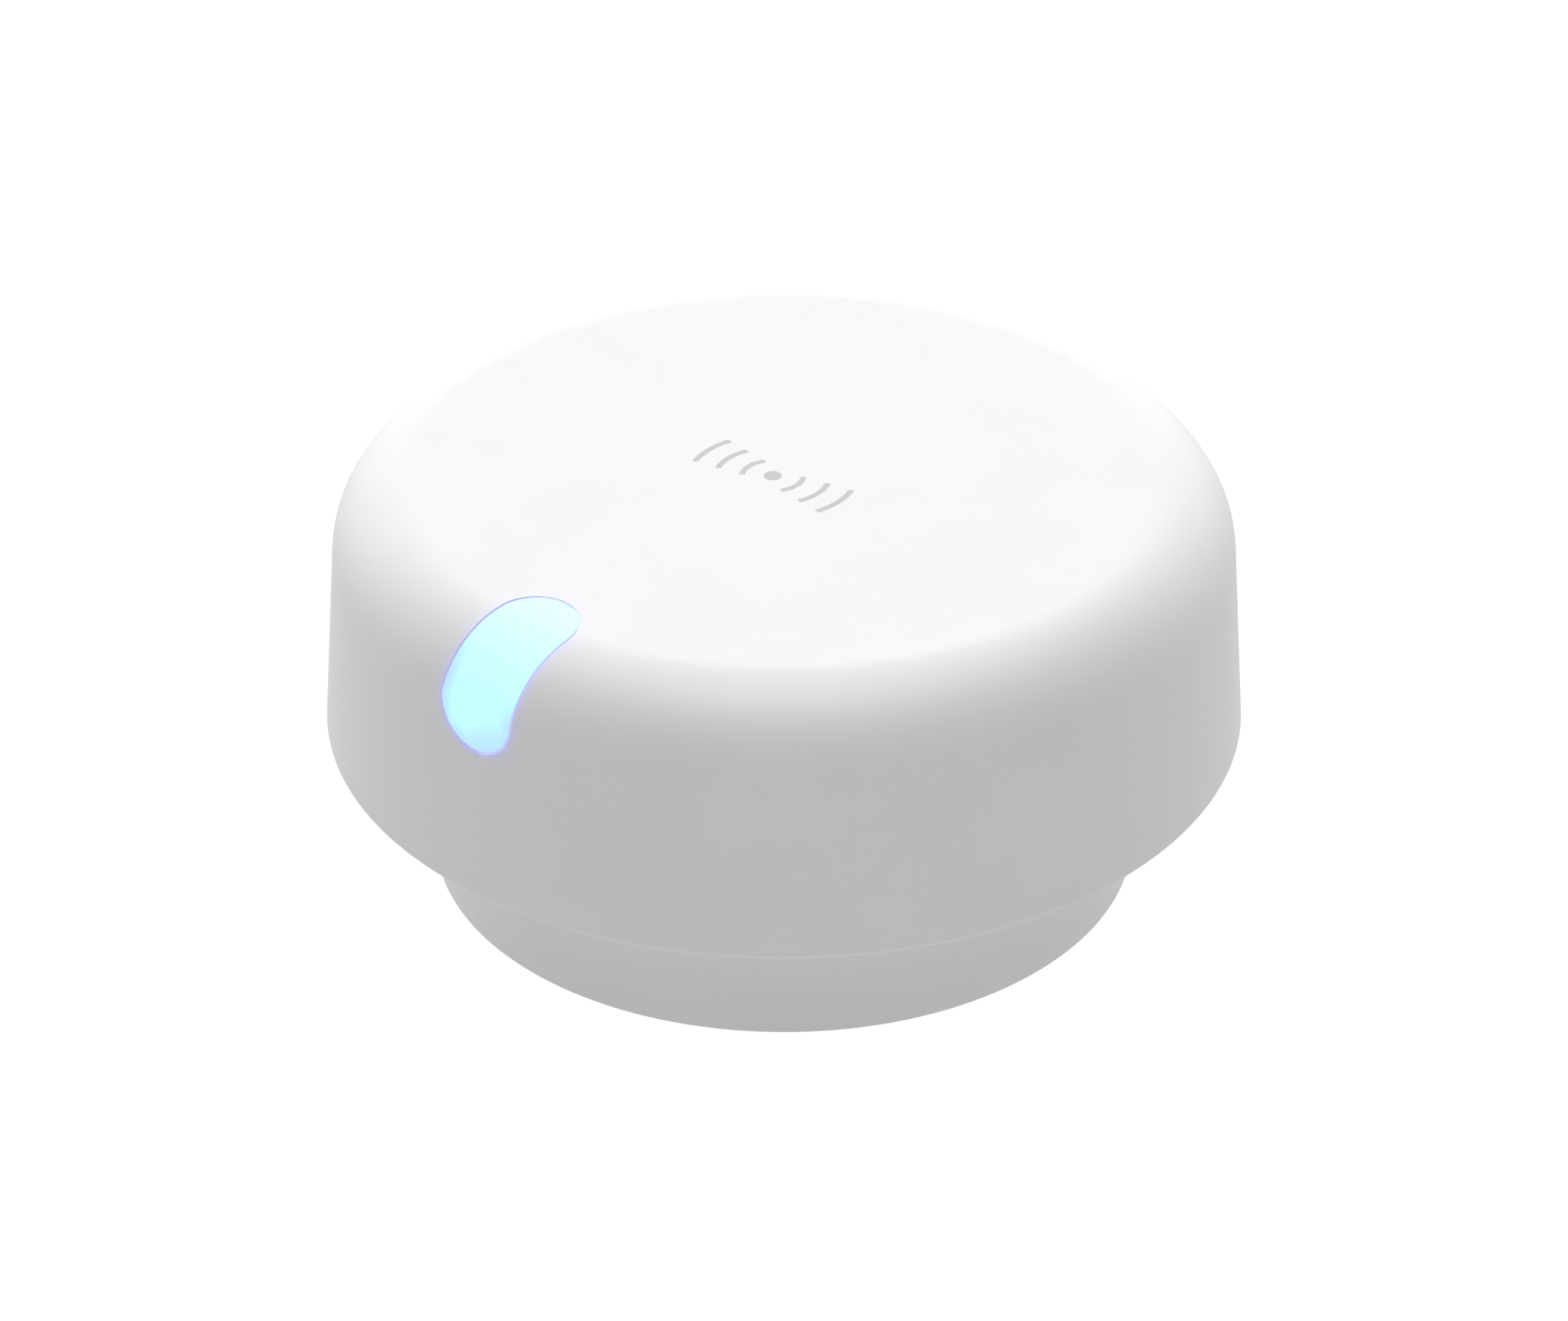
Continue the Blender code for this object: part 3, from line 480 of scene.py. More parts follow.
def make_button():
    """The lit pill: its skin follows the shoulder, and a flange holds it inside the shell."""
    build = Build()
    places, rings = edge_rings(build, pill, along_press, PRESS, -SEAM, -1.0)
    skin(build, 0, places, rings[0])
    neck = surface_ring(build, FLANGE_INSET, pill(-SEAM), along_press, math.pi / 2, away=-1)[1]
    flange_top = surface_ring(build, FLANGE_INSET, pill(FLANGE), along_press)[1]
    places, flange_low = surface_ring(build, BUTTON_DEPTH, pill(FLANGE), along_press, math.pi)
    build.strips(rings + [neck, flange_top, flange_low])
    skin(build, BUTTON_DEPTH, places, flange_low, math.pi)
    return build.solid("light_button_fine")


def skin(build, inset, places, ring, turn=0.0):
    """Cover a pill-shaped patch of the inset head surface."""
    outer = flattened(places, ring)
    outline = [Vector(flat) for flat, _ in outer]
    first_angle, first_length = [min(values) for values in zip(*places)]
    last_angle, last_length = [max(values) for values in zip(*places)]
    spots = []
    for row in range(1, SKIN_ROWS):
        length = first_length + (last_length - first_length) * row / SKIN_ROWS
        for column in range(1, SKIN_COLUMNS):
            angle = first_angle + (last_angle - first_angle) * column / SKIN_COLUMNS
            flat = Vector((angle * HEAD_RADIUS, length))
            if inside(flat, outline) and clear_of(flat, outline, SKIN_CLEAR):
                point, normal = head_point(inset, length, angle)
                spots.append((flat, build.add(point, normal * math.cos(turn))))
    fill(build, outer, spots)


# ---------------- turned and cut pieces
# These are shaped in millimetres, and finished() brings them to metres.
WELD = 0.002                       # points closer than this are one point
CUT_PAST = 1.0                     # how far joined solids and cutting tools run past a face
TURNED_STEPS = 192
SMALL_STEPS = 48
CORNER_STEPS = 4
BEVEL_SEGMENTS = 2
BEVEL_ANGLE = math.radians(35)     # sharper edges are bevelled
SMOOTH_ANGLE = math.radians(40)    # flatter edges are shaded smooth


def turned(name, profile, steps=TURNED_STEPS, place=(0, 0, 0)):
    """A solid turned about Z from (radius, height) points; off the axis it is a ring."""
    mesh_data = bmesh.new()
    rings = []
    for radius, height in profile:
        count = steps if radius > 0 else 1
        rings.append([mesh_data.verts.new(
            turned_point(radius, height, 2 * math.pi * step / steps) + Vector(place))
            for step in range(count)])
    if profile[0][0] > 0:
        rings.append(rings[0])
    for ring, after in zip(rings, rings[1:]):
        for step in range(steps):
            mesh_data.faces.new(face_between(ring, after, step))
    return from_bmesh(name, mesh_data)


def drum(name, radius, low, high, steps=TURNED_STEPS, place=(0, 0, 0)):
    return turned(name, [(0, high), (radius, high), (radius, low), (0, low)], steps, place)


def extruded(name, outline, low, high, along="Z"):
    mesh_data = bmesh.new()
    add_prism(mesh_data, outline, (low, high), along)
    return from_bmesh(name, mesh_data)


def add_prism(mesh_data, outline, levels, along="Z"):
    """Add a solid between two levels: an outline in XY along Z, or one in YZ along X."""
    start, finish = [[mesh_data.verts.new((*point, level) if along == "Z" else (level, *point))
                      for point in outline] for level in levels]
    mesh_data.faces.new(start)
    mesh_data.faces.new(finish[::-1])
    for step in range(len(start)):
        mesh_data.faces.new(face_between(start, finish, step))


def rectangle(half_width, low, high):
    return [(-half_width, low), (half_width, low), (half_width, high), (-half_width, high)]


def apply_modifier(piece, modifier):
    """Replace a piece's mesh by what its modifier makes of it, with stray splits welded."""
    bpy.context.view_layer.update()
    evaluated = piece.evaluated_get(bpy.context.evaluated_depsgraph_get())
    mesh_data = bmesh.new()
    mesh_data.from_mesh(evaluated.data)
    bmesh.ops.remove_doubles(mesh_data, verts=mesh_data.verts, dist=WELD)
    bmesh.ops.dissolve_degenerate(mesh_data, edges=mesh_data.edges, dist=WELD)
    piece.modifiers.remove(modifier)
    mesh_data.to_mesh(piece.data)
    mesh_data.free()


def combine(piece, tool, operation):
    modifier = piece.modifiers.new("combine", "BOOLEAN")
    modifier.solver = "EXACT"
    modifier.operation = operation
    modifier.object = tool
    apply_modifier(piece, modifier)
    bpy.data.objects.remove(tool)


def join(piece, tool):
    combine(piece, tool, "UNION")


def cut(piece, tool):
    combine(piece, tool, "DIFFERENCE")


def bevelled(piece, width):
    """Round a piece's sharp edges."""
    modifier = piece.modifiers.new("round", "BEVEL")
    modifier.width = width
    modifier.segments = BEVEL_SEGMENTS
    modifier.limit_method = "ANGLE"
    modifier.angle_limit = BEVEL_ANGLE
    apply_modifier(piece, modifier)
    return piece


def finished(piece):
    """Bring a piece to metres and shade its rounded faces smooth."""
    piece.data.transform(Matrix.Scale(MM, 4))
    piece.data.shade_smooth()
    piece.data.set_sharp_from_angle(angle=SMOOTH_ANGLE)
    return piece


def arc(centre, radius, start_deg, end_deg, steps):
    points = []
    for step in range(steps + 1):
        turn = math.radians(start_deg + (end_deg - start_deg) * step / steps)
        points.append((centre[0] + radius * math.cos(turn), centre[1] + radius * math.sin(turn)))
    return points


def circle(centre, radius, steps):
    return arc(centre, radius, 0, 360, steps)[:-1]


def rounded(corners, radius):
    """A (radius, height) profile with its marked corners rounded.

    Each corner is (r, z, share), and share scales the rounding at that corner."""
    points = []
    count = len(corners)
    for index, (r, z, share) in enumerate(corners):
        here = Vector((r, z))
        before = Vector(corners[index - 1][:2])
        after = Vector(corners[(index + 1) % count][:2])
        if not share:
            points.append((r, z))
            continue
        start = here + (before - here).normalized() * radius * share
        end = here + (after - here).normalized() * radius * share
        for step in range(CORNER_STEPS + 1):
            t = step / CORNER_STEPS
            bend = start * (1 - t) ** 2 + here * 2 * t * (1 - t) + end * t * t
            points.append((bend.x, bend.y))
    return points


# ---------------- stand, hub and rear shell
GAP = 0.3
CORNER_ROUND = 0.4    # on the outer edges of the stand, the hub and the rear shell
EDGE_BREAK = 0.15     # on the edges that cuts leave
STAND_WALL = 1.8
STAND_ROOF = 1.6
STAND_TOP = HUB_LOW.z - GAP
SKIRT_LOW = STAND_LOW / 3          # the stand's edge ends just above the foot
SKIRT_SHARE = 0.25                 # of the corner rounding, on the skirt's low edge
BLOCK_HALF_WIDTH = 7.0
BLOCK_DEPTH = 6.8                  # from the stand's outer radius inwards
HINGE_Y = (PIN_LOW.y + PIN_HIGH.y) / 2
HINGE_Z = (PIN_LOW.z + PIN_HIGH.z) / 2
KNUCKLE = 1.8
KNUCKLE_STEPS = 24
EARS = (3.6, 6.6)                  # each ear's inner and outer face
PIN_HOLE = (PIN_HIGH.z - PIN_LOW.z) / 2 + GAP / 2
HUB_TOP = REAR_LOW.z - GAP
HUB_CUT_Y = 19.6
COLLAR_TOP = HUB_HIGH.z
COLLAR_RADIUS = 6.9
COLLAR_BORE = (4.5, 8.6)           # radius, low end
GROOVE = (5.9, 13.75, 14.9)        # radius, low, high
RING_SEAT = (13.0, 17.0, 1.5)      # inner radius, outer radius, depth
REAR_BORE = 7.2
REAR_TOP = 12.95
REAR_SHARES = (0.6, 1, 0.5, 0.4)   # of the corner rounding, from the bore's low edge round
POST = (2.0, 1.0, 13.35)           # radius, bore radius, bore's low end
POST_CIRCLE = (17.0, (90, 210, 330))
SCREW_RECESS = (1.8, 1.0, 12.05)   # head's radius, shank's radius, seat
SCREW_CIRCLE = (22.6, (45, 135, 225, 315))
FOOT_ROUND = 0.25
FOOT_TOP_SHARE = 0.5


def cut_hinge_hole(piece):
    outline = circle((HINGE_Y, HINGE_Z), PIN_HOLE, SMALL_STEPS)
    cut(piece, extruded("hole", outline, -EARS[1] - CUT_PAST, EARS[1] + CUT_PAST, "X"))


def places_on(distance, angles):
    return [turned_point(distance, 0, math.radians(angle)) for angle in angles]


def make_base():
    """The stand's white shell with the thick wall at its back and the two hinge ears."""
    shell = turned("base_shell_fine", rounded(
        [(0, STAND_TOP, 0), (STAND_RADIUS, STAND_TOP, 1), (STAND_RADIUS, SKIRT_LOW, SKIRT_SHARE),
         (0, SKIRT_LOW, 0)], CORNER_ROUND))
    half, front, back = BLOCK_HALF_WIDTH, STAND_RADIUS - BLOCK_DEPTH, BASE_HIGH.y
    block = [(-half, front), (half, front), (half, back - CORNER_ROUND),
             (half - CORNER_ROUND, back), (-half + CORNER_ROUND, back),
             (-half, back - CORNER_ROUND)]
    join(shell, extruded("back_block", block, SKIRT_LOW, STAND_TOP))
    ear_foot = STAND_TOP - CUT_PAST
    ear = ([(HINGE_Y - KNUCKLE, ear_foot)]
           + arc((HINGE_Y, HINGE_Z), KNUCKLE, 180, 0, KNUCKLE_STEPS)
           + [(HINGE_Y + KNUCKLE, ear_foot)])
    inner, outer = EARS
    for low, high in ((-outer, -inner), (inner, outer)):
        join(shell, extruded("ear", ear, low, high, "X"))
    cut(shell, drum("hollow", STAND_RADIUS - STAND_WALL, -CUT_PAST, STAND_TOP - STAND_ROOF))
    cut_hinge_hole(shell)
    return finished(bevelled(shell, EDGE_BREAK))


def make_hub():
    """The hub: a flat plate, its hinge tongue and the collar that the head turns on."""
    plate = turned("hub_plate_fine", rounded(
        [(0, HUB_TOP, 0), (STAND_RADIUS, HUB_TOP, 1), (STAND_RADIUS, HUB_LOW.z, 1),
         (0, HUB_LOW.z, 0)], CORNER_ROUND))
    reach = STAND_RADIUS + CUT_PAST
    cut(plate, extruded("cut_off", rectangle(reach, HUB_CUT_Y, reach), HUB_LOW.z - CUT_PAST,
                        HUB_TOP + CUT_PAST))
    arm = HUB_CUT_Y - KNUCKLE
    tongue = ([(arm, HINGE_Z - KNUCKLE)]
              + arc((HINGE_Y, HINGE_Z), KNUCKLE, -90, 90, KNUCKLE_STEPS)
              + [(arm, HINGE_Z + KNUCKLE)])
    half = EARS[0] - GAP
    join(plate, extruded("tongue", tongue, -half, half, "X"))
    groove, groove_low, groove_high = GROOVE
    foot = HUB_TOP - CUT_PAST
    collar = [(0, foot), (COLLAR_RADIUS, foot), (COLLAR_RADIUS, groove_low),
              (groove, groove_low), (groove, groove_high), (COLLAR_RADIUS, groove_high),
              (COLLAR_RADIUS - GAP, COLLAR_TOP), (0, COLLAR_TOP)]
    join(plate, turned("collar", collar, TURNED_STEPS // 2))
    radius, bore_low = COLLAR_BORE
    cut(plate, drum("bore", radius, bore_low, COLLAR_TOP + CUT_PAST, TURNED_STEPS // 2))
    inner, outer, depth = RING_SEAT
    cut(plate, turned("ring_seat", [(inner, HUB_TOP - depth), (outer, HUB_TOP - depth),
                                    (outer, HUB_TOP + CUT_PAST), (inner, HUB_TOP + CUT_PAST)]))
    cut_hinge_hole(plate)
    return finished(bevelled(plate, EDGE_BREAK))


def make_rear_shell():
    """The head's white back plate with its screw recesses and board posts."""
    section = ((REAR_BORE, REAR_LOW.z), (REAR_HIGH.x, REAR_LOW.z), (REAR_HIGH.x, REAR_TOP),
               (REAR_BORE, REAR_TOP))
    plate = turned("rear_shell_fine", rounded(
        [(*corner, share) for corner, share in zip(section, REAR_SHARES)], CORNER_ROUND))
    radius, bore, bore_low = POST
    for place in places_on(*POST_CIRCLE):
        join(plate, drum("post", radius, REAR_TOP - CUT_PAST, REAR_HIGH.z, SMALL_STEPS, place))
        cut(plate, drum("bore", bore, bore_low, REAR_HIGH.z + CUT_PAST, SMALL_STEPS, place))
    head, shank, seat = SCREW_RECESS
    sunk = [(0, REAR_TOP + CUT_PAST), (shank, REAR_TOP + CUT_PAST), (shank, seat), (head, seat),
            (head, REAR_LOW.z - CUT_PAST), (0, REAR_LOW.z - CUT_PAST)]
    for place in places_on(*SCREW_CIRCLE):
        cut(plate, turned("sunk", sunk, SMALL_STEPS, place))
    return finished(plate)


def make_foot():
    radius, low, high = FOOT_HIGH.x, FOOT_LOW.z, FOOT_HIGH.z
    return finished(turned("foot_pad_fine", rounded(
        [(0, high, 0), (radius, high, FOOT_TOP_SHARE), (radius, low, 1), (0, low, 0)],
        FOOT_ROUND)))


# ---------------- power socket and hinge pin
SOCKET_WALL = 0.3
SOCKET_ROLL = 0.12                 # radius of the mouth's edges and the back's corners
ROLL_STEPS = 4
SOCKET_FLOOR = 0.5                 # thickness of the closed end
TONGUE_HALF_THICKNESS = 0.35
TONGUE_ROOT = (3.0, 1.35)          # half width, length
TONGUE_EDGE = 0.08
CONTACT_COUNT = 12
CONTACT_PITCH = 0.5
CONTACT_HALF_WIDTH = 0.13
CONTACT_ENDS = (0.5, 1.5)          # bare tongue before and behind the contacts
CONTACT_SUNK = 0.02
CONTACT_PROUD = 0.03
PIN_ROUND = 0.15


def slot_ring(build, shrink, x, normal_x):
    """A ring around the socket at depth x; normal_x is its normals' part along X."""
    side = math.sqrt(max(1 - normal_x * normal_x, 0))
    if shrink > SOCKET_WALL / 2:
        side = -side
    return [build.add((x, y, z), (normal_x, side * out[0], side * out[1]))
            for (y, z), out in slot(-shrink)]


def make_socket():
    """The drawn steel shell of the socket, with a rolled mouth and a closed back."""
    build = Build()
    mouth, back = SOCKET_LOW.x, SOCKET_HIGH.x
    rings = [slot_ring(build, SOCKET_ROLL, back, 1.0),
             slot_ring(build, 0, back - SOCKET_ROLL, 0.0)]
    turns = [math.pi / 2 * step / ROLL_STEPS for step in range(ROLL_STEPS + 1)]
    rolls = [(SOCKET_ROLL * (1 - math.cos(turn)), turn) for turn in turns]
    rolls += [(SOCKET_WALL - shrink, turn) for shrink, turn in rolls[::-1]]
    for shrink, turn in rolls:
        rings.append(slot_ring(build, shrink, mouth + SOCKET_ROLL * (1 - math.sin(turn)),
                               -math.sin(turn)))
    floor = back - SOCKET_FLOOR
    rings.append(slot_ring(build, SOCKET_WALL, floor - SOCKET_ROLL, 0.0))
    rings.append(slot_ring(build, SOCKET_WALL + SOCKET_ROLL, floor, -1.0))
    build.strips(rings)
    build.faces.append(rings[0][::-1])
    build.faces.append(rings[-1])
    return build.solid("socket_shell_fine")


def make_tongue():
    """The socket's tongue: a thin tip on a thicker root."""
    low, high = span("usb_socket_tongue")
    middle = (low.z + high.z) / 2
    tip = extruded("tongue_fine", rectangle(high.y, middle - TONGUE_HALF_THICKNESS,
                                            middle + TONGUE_HALF_THICKNESS), low.x, high.x, "X")
    half_width, length = TONGUE_ROOT
    join(tip, extruded("root", rectangle(half_width, low.z, high.z), high.x - length,
                       high.x - CONTACT_SUNK, "X"))
    return finished(bevelled(tip, TONGUE_EDGE))


def make_contacts():
    """Gold contact strips that lie on both faces of the tongue."""
    low, high = span("usb_socket_tongue")
    middle = (low.z + high.z) / 2
    start, end = low.x + CONTACT_ENDS[0], high.x - CONTACT_ENDS[1]
    mesh_data = bmesh.new()
    for side in (-1, 1):
        levels = sorted(middle + side * (TONGUE_HALF_THICKNESS + shift)
                        for shift in (-CONTACT_SUNK, CONTACT_PROUD))
        for number in range(CONTACT_COUNT):
            y = (number - (CONTACT_COUNT - 1) / 2) * CONTACT_PITCH
            low_y, high_y = y - CONTACT_HALF_WIDTH, y + CONTACT_HALF_WIDTH
            add_prism(mesh_data, [(start, low_y), (end, low_y), (end, high_y), (start, high_y)],
                      levels)
    return finished(from_bmesh("socket_contacts", mesh_data))


def make_pin():
    """The hinge pin, with rounded ends."""
    radius = (PIN_HIGH.z - PIN_LOW.z) / 2
    half = PIN_HIGH.x
    pin = turned("hinge_pin_fine", rounded([(0, half, 0), (radius, half, 1), (radius, -half, 1),
                                            (0, -half, 0)], PIN_ROUND), SMALL_STEPS)
    pin.data.transform(Matrix.Translation((0, HINGE_Y, HINGE_Z))
                       @ Matrix.Rotation(math.pi / 2, 4, "Y"))
    return finished(pin)


# ---------------- printed mark
MARK_CENTRE = (0, -1.2)
MARK_DOT = 0.62       # radius
MARK_ARCS = ((2.1, 1.2), (3.9, 1.55), (5.7, 1.85))    # radius, half height
MARK_STROKE = 0.4
DOT_STEPS = 36
MARK_STEPS = 24
INK_SUNK = 0.02


def make_mark():
    """A generic sensing sign: a dot between arcs, printed thinly on the top face."""
    mesh_data = bmesh.new()
    outlines = [circle(MARK_CENTRE, MARK_DOT, DOT_STEPS)]
    for radius, half_height in MARK_ARCS:
        reach = math.degrees(math.asin(half_height / radius))
        outer, inner = radius + MARK_STROKE / 2, radius - MARK_STROKE / 2
        for middle in (0, 180):
            start, end = middle - reach, middle + reach
            outlines.append(arc(MARK_CENTRE, outer, start, end, MARK_STEPS)
                            + arc(MARK_CENTRE, inner, end, start, MARK_STEPS))
    for outline in outlines:
        add_prism(mesh_data, outline, (TOP_Z - INK_SUNK, TOP_Z + INK_PROUD))
    return finished(from_bmesh("printed_mark", mesh_data))


# ---------------- materials
# A grain is (size in millimetres, octaves, how strong each octave is).
NOISE_SPAN = (0.3, 0.7)        # where nearly all of a noise's values lie
WHITE = (0.77, 0.77, 0.77)
WHITE_ROUGHNESS = 0.5
MOTTLE = (9.0, 2.0, 0.5)       # a moulding's broad changes of shade
SPARK_GRAIN = (0.16, 3.0, 0.6)
SPARK_DEPTH = 0.004
SPARK_GLOSS = 0.05             # how far the roughness strays from its middle
DRAWN_GRAIN = (1.2, 4.0, 0.6)
DRAWN_STRETCH = (1, 1, 12)
DRAWN_DEPTH = 0.002
DRAWN_GLOSS = (-0.06, 0.08)
DRAWN_DARK = 0.85              # shade of the grain's dark side
INK_GRAIN = (0.2, 2.0, 0.5)
INK_SHADES = ((0.46, 0.46, 0.46), (0.50, 0.50, 0.50))
INK_ROUGHNESS = 0.5
TRACK_SIZE = 1.6
TRACK_RELIEF = 0.01
MASK_SHADES = ((0.012, 0.10, 0.045), (0.02, 0.17, 0.07))
MASK_ROUGHNESS = 0.32
RUBBER_GRAIN = (0.3, 4.0, 0.7)
RUBBER_DEPTH = 0.03
RUBBER_SHADES = ((0.10, 0.10, 0.105), (0.15, 0.15, 0.155))
RUBBER_ROUGHNESS = 0.85

# Light of the button.  Bands run from where an effect starts to where it is full: by distance
# outside the outline, or by the place across and along the leaning pill.
LIGHT_STRENGTH = 0.98
PALE_LOW = (0.55, 1.0, 1.0)
PALE_HIGH = (0.77, 1.0, 1.0)
PALE_START = 0.25              # share of the pill's length that keeps its low colour
BLUE_EDGE = (0.50, 0.74, 1.0)
BLUE_SLANT = 0.5               # how far the blue end's border leans across the pill
BLUE_END = (-3.4, -6.0)
EDGE_BAND = (-1.3, -0.2)       # the bluer edge, by distance
EDGE_LEFT = (-1.0, -2.6)       # it shows at the left, across the pill,
EDGE_LEFT_LOW = (1.0, -2.0)    # from the middle down,
EDGE_LOW = (-2.5, -4.5)        # and around the low end
EDGE_SHARE = 0.85
SEAM_BAND = (-0.10, -0.05)
SEAM_TINT = (0.52, 0.56, 1.0)
GUIDE_BODY = (0.02, 0.06, 0.08)
GUIDE_ROUGHNESS = 0.45
GUIDE_GLOSS = 0.15
GLOW_STRENGTH = 0.24
GLOW_REACH = 0.42
GLOW_BACK = -10                # no glow behind this Y
GLOW_BLUE = (0, 0, 1)


class Look:
    """The node tree of a material or a world, and the shader it starts with."""

    def __init__(self, owner, shader="Principled BSDF"):
        owner.use_nodes = True
        self.owner = owner
        self.tree = owner.node_tree
        self.shader = self.tree.nodes[shader]

    def feed(self, node, inputs):
        """Link other nodes' outputs to a node's inputs, or set the inputs' own values."""
        for name, value in inputs.items():
            if isinstance(value, bpy.types.NodeSocket):
                self.tree.links.new(value, node.inputs[name])
            else:
                node.inputs[name].default_value = value

    def node(self, kind, inputs, output, **settings):
        """Add a node with its settings and inputs, and return one of its outputs."""
        node = self.tree.nodes.new("ShaderNode" + kind)
        for name, value in settings.items():
            setattr(node, name, value)
        self.feed(node, inputs)
        return node.outputs[output]

    def position(self):
        return self.node("TexCoord", {}, "Object")

    def math(self, operation, *values):
        return self.node("Math", dict(enumerate(values)), 0, operation=operation)

    def component(self, vector, direction):
        """The dot product of a vector and a fixed direction."""
        return self.node("VectorMath", {0: vector, 1: direction}, "Value",
                         operation="DOT_PRODUCT")

    def noise(self, position, size, octaves, strength):
        return self.node("TexNoise", {"Vector": position, "Scale": 1 / (size * MM),
                                      "Detail": octaves, "Roughness": strength}, "Fac")

    def spread(self, value, low, high):
        """A noise spread from low to high."""
        return self.node("MapRange", {"Value": value, "From Min": NOISE_SPAN[0],
                                      "From Max": NOISE_SPAN[1], "To Min": low,
                                      "To Max": high}, "Result")

    def ramp(self, value, start, end, height=1.0):
        """0 where value is start, rising smoothly to height where it is end."""
        return self.node("MapRange", {"Value": value, "From Min": start, "From Max": end,
                                      "To Max": height}, "Result",
                         interpolation_type="SMOOTHSTEP")

    def tint(self, value, shades, places=NOISE_SPAN):
        """The first shade where value is at the first place, turning to the second."""
        node = self.tree.nodes.new("ShaderNodeValToRGB")
        for element, place, shade in zip(node.color_ramp.elements, places, shades):
            element.position = place
            element.color = (*shade, 1)
        self.feed(node, {"Fac": value})
        return node.outputs["Color"]

    def mix(self, share, first, second):
        return self.node("Mix", {"Factor": share, "A": first, "B": (*second, 1)}, "Result",
                         data_type="RGBA")

    def relief(self, height, depth):
        """Bump the surface by a depth in millimetres."""
        normal = self.node("Bump", {"Height": height, "Distance": depth * MM}, "Normal")
        self.feed(self.shader, {"Normal": normal})


def new_look(name):
    return Look(bpy.data.materials.new(name))


def darker(colour, share):
    return tuple(channel * share for channel in colour)


def moulded(name, colour, roughness, vary=0.02):
    """Moulded plastic with a fine spark-eroded grain."""
    look = new_look(name)
    position = look.position()
    grain = look.noise(position, *SPARK_GRAIN)
    look.feed(look.shader, {
        "Base Color": look.tint(look.noise(position, *MOTTLE), (darker(colour, 1 - vary), colour)),
        "Roughness": look.spread(grain, roughness - SPARK_GLOSS, roughness + SPARK_GLOSS)})
    look.relief(grain, SPARK_DEPTH)
    return look.owner


def pill_distance(look):
    """Sockets in millimetres: distance outside the button's outline, and the place across
    and along the leaning pill."""
    place = look.node("VectorMath", {0: look.position(), 1: SHOULDER_MID * MM}, 0,
                      operation="SUBTRACT")
    side = Vector((1, 0, 0))
    across = look.component(place, (side * math.cos(PILL_LEAN)
                                    - CLIMB * math.sin(PILL_LEAN)) / MM)
    along = look.component(place, (side * math.sin(PILL_LEAN)
                                   + CLIMB * math.cos(PILL_LEAN)) / MM)
    middle = (PILL_HIGH[0] - PILL_LOW[0]) / 2
    reach = (PILL_HIGH[0] + PILL_LOW[0]) / 2
    away = look.math("ABSOLUTE", look.math("SUBTRACT", along, middle))
    past = look.math("MAXIMUM", look.math("SUBTRACT", away, reach), 0.0)
    roundness = 2 * PILL_HALF_WIDTH / (PILL_HIGH[1] + PILL_LOW[1])
    stretched = look.math("MULTIPLY", past, roundness)
    squared = look.math("MULTIPLY_ADD", stretched, stretched,
                        look.math("MULTIPLY", across, across))
    distance = look.math("SUBTRACT", look.math("SQRT", squared), PILL_HALF_WIDTH)
    return distance, across, along


def glowing_shell():
    """The white shell's plastic, lit faintly through its thickness around the button."""
    look = Look(moulded("white_shell_lit", WHITE, WHITE_ROUGHNESS))
    distance = pill_distance(look)[0]
    fall = look.math("MULTIPLY", distance, -1 / GLOW_REACH)
    glow = look.math("MINIMUM", look.math("POWER", math.e, fall), 1.0)
    y = look.node("SeparateXYZ", {0: look.position()}, "Y")
    ahead = look.math("LESS_THAN", y, GLOW_BACK * MM)
    strength = look.math("MULTIPLY", look.math("MULTIPLY", glow, ahead), GLOW_STRENGTH)
    look.feed(look.shader, {"Emission Color": (*GLOW_BLUE, 1), "Emission Strength": strength})
    return look.owner


def lit_plastic():
    """The frosted light guide: pale cyan at its top, bluer at its lower end and left edge."""
    look = new_look("lit_button")
    distance, across, along = pill_distance(look)
    share = look.node("MapRange", {"Value": along, "From Min": -sum(PILL_LOW),
                                   "From Max": sum(PILL_HIGH)}, "Result")
    pale = look.tint(share, (PALE_LOW, PALE_HIGH), (PALE_START, 1.0))
    level = look.math("MULTIPLY_ADD", across, -BLUE_SLANT, along)
    left = look.math("MULTIPLY", look.ramp(across, *EDGE_LEFT), look.ramp(along, *EDGE_LEFT_LOW))
    around = look.math("MAXIMUM", left, look.ramp(level, *EDGE_LOW))
    edge = look.math("MULTIPLY", look.ramp(distance, *EDGE_BAND), around)
    blue = look.math("MAXIMUM", look.ramp(level, *BLUE_END),
                     look.math("MULTIPLY", edge, EDGE_SHARE))
    seam = look.ramp(distance, *SEAM_BAND)
    look.feed(look.shader, {
        "Emission Color": look.mix(seam, look.mix(blue, pale, BLUE_EDGE), SEAM_TINT),
        "Emission Strength": LIGHT_STRENGTH, "Base Color": (*GUIDE_BODY, 1),
        "Roughness": GUIDE_ROUGHNESS, "Specular IOR Level": GUIDE_GLOSS})
    return look.owner


def printed_ink():
    look = new_look("mark_ink")
    look.feed(look.shader, {
        "Base Color": look.tint(look.noise(look.position(), *INK_GRAIN), INK_SHADES),
        "Roughness": INK_ROUGHNESS})
    return look.owner


def metal(name, colour, roughness):
    """Plated metal with a fine drawn grain."""
    look = new_look(name)
    drawn = look.node("Mapping", {"Vector": look.position(), "Scale": DRAWN_STRETCH}, "Vector")
    grain = look.noise(drawn, *DRAWN_GRAIN)
    smooth, rough = [roughness + stray for stray in DRAWN_GLOSS]
    look.feed(look.shader, {
        "Base Color": look.tint(grain, (darker(colour, DRAWN_DARK), colour)),
        "Roughness": look.spread(grain, smooth, rough), "Metallic": 1.0})
    look.relief(grain, DRAWN_DEPTH)
    return look.owner


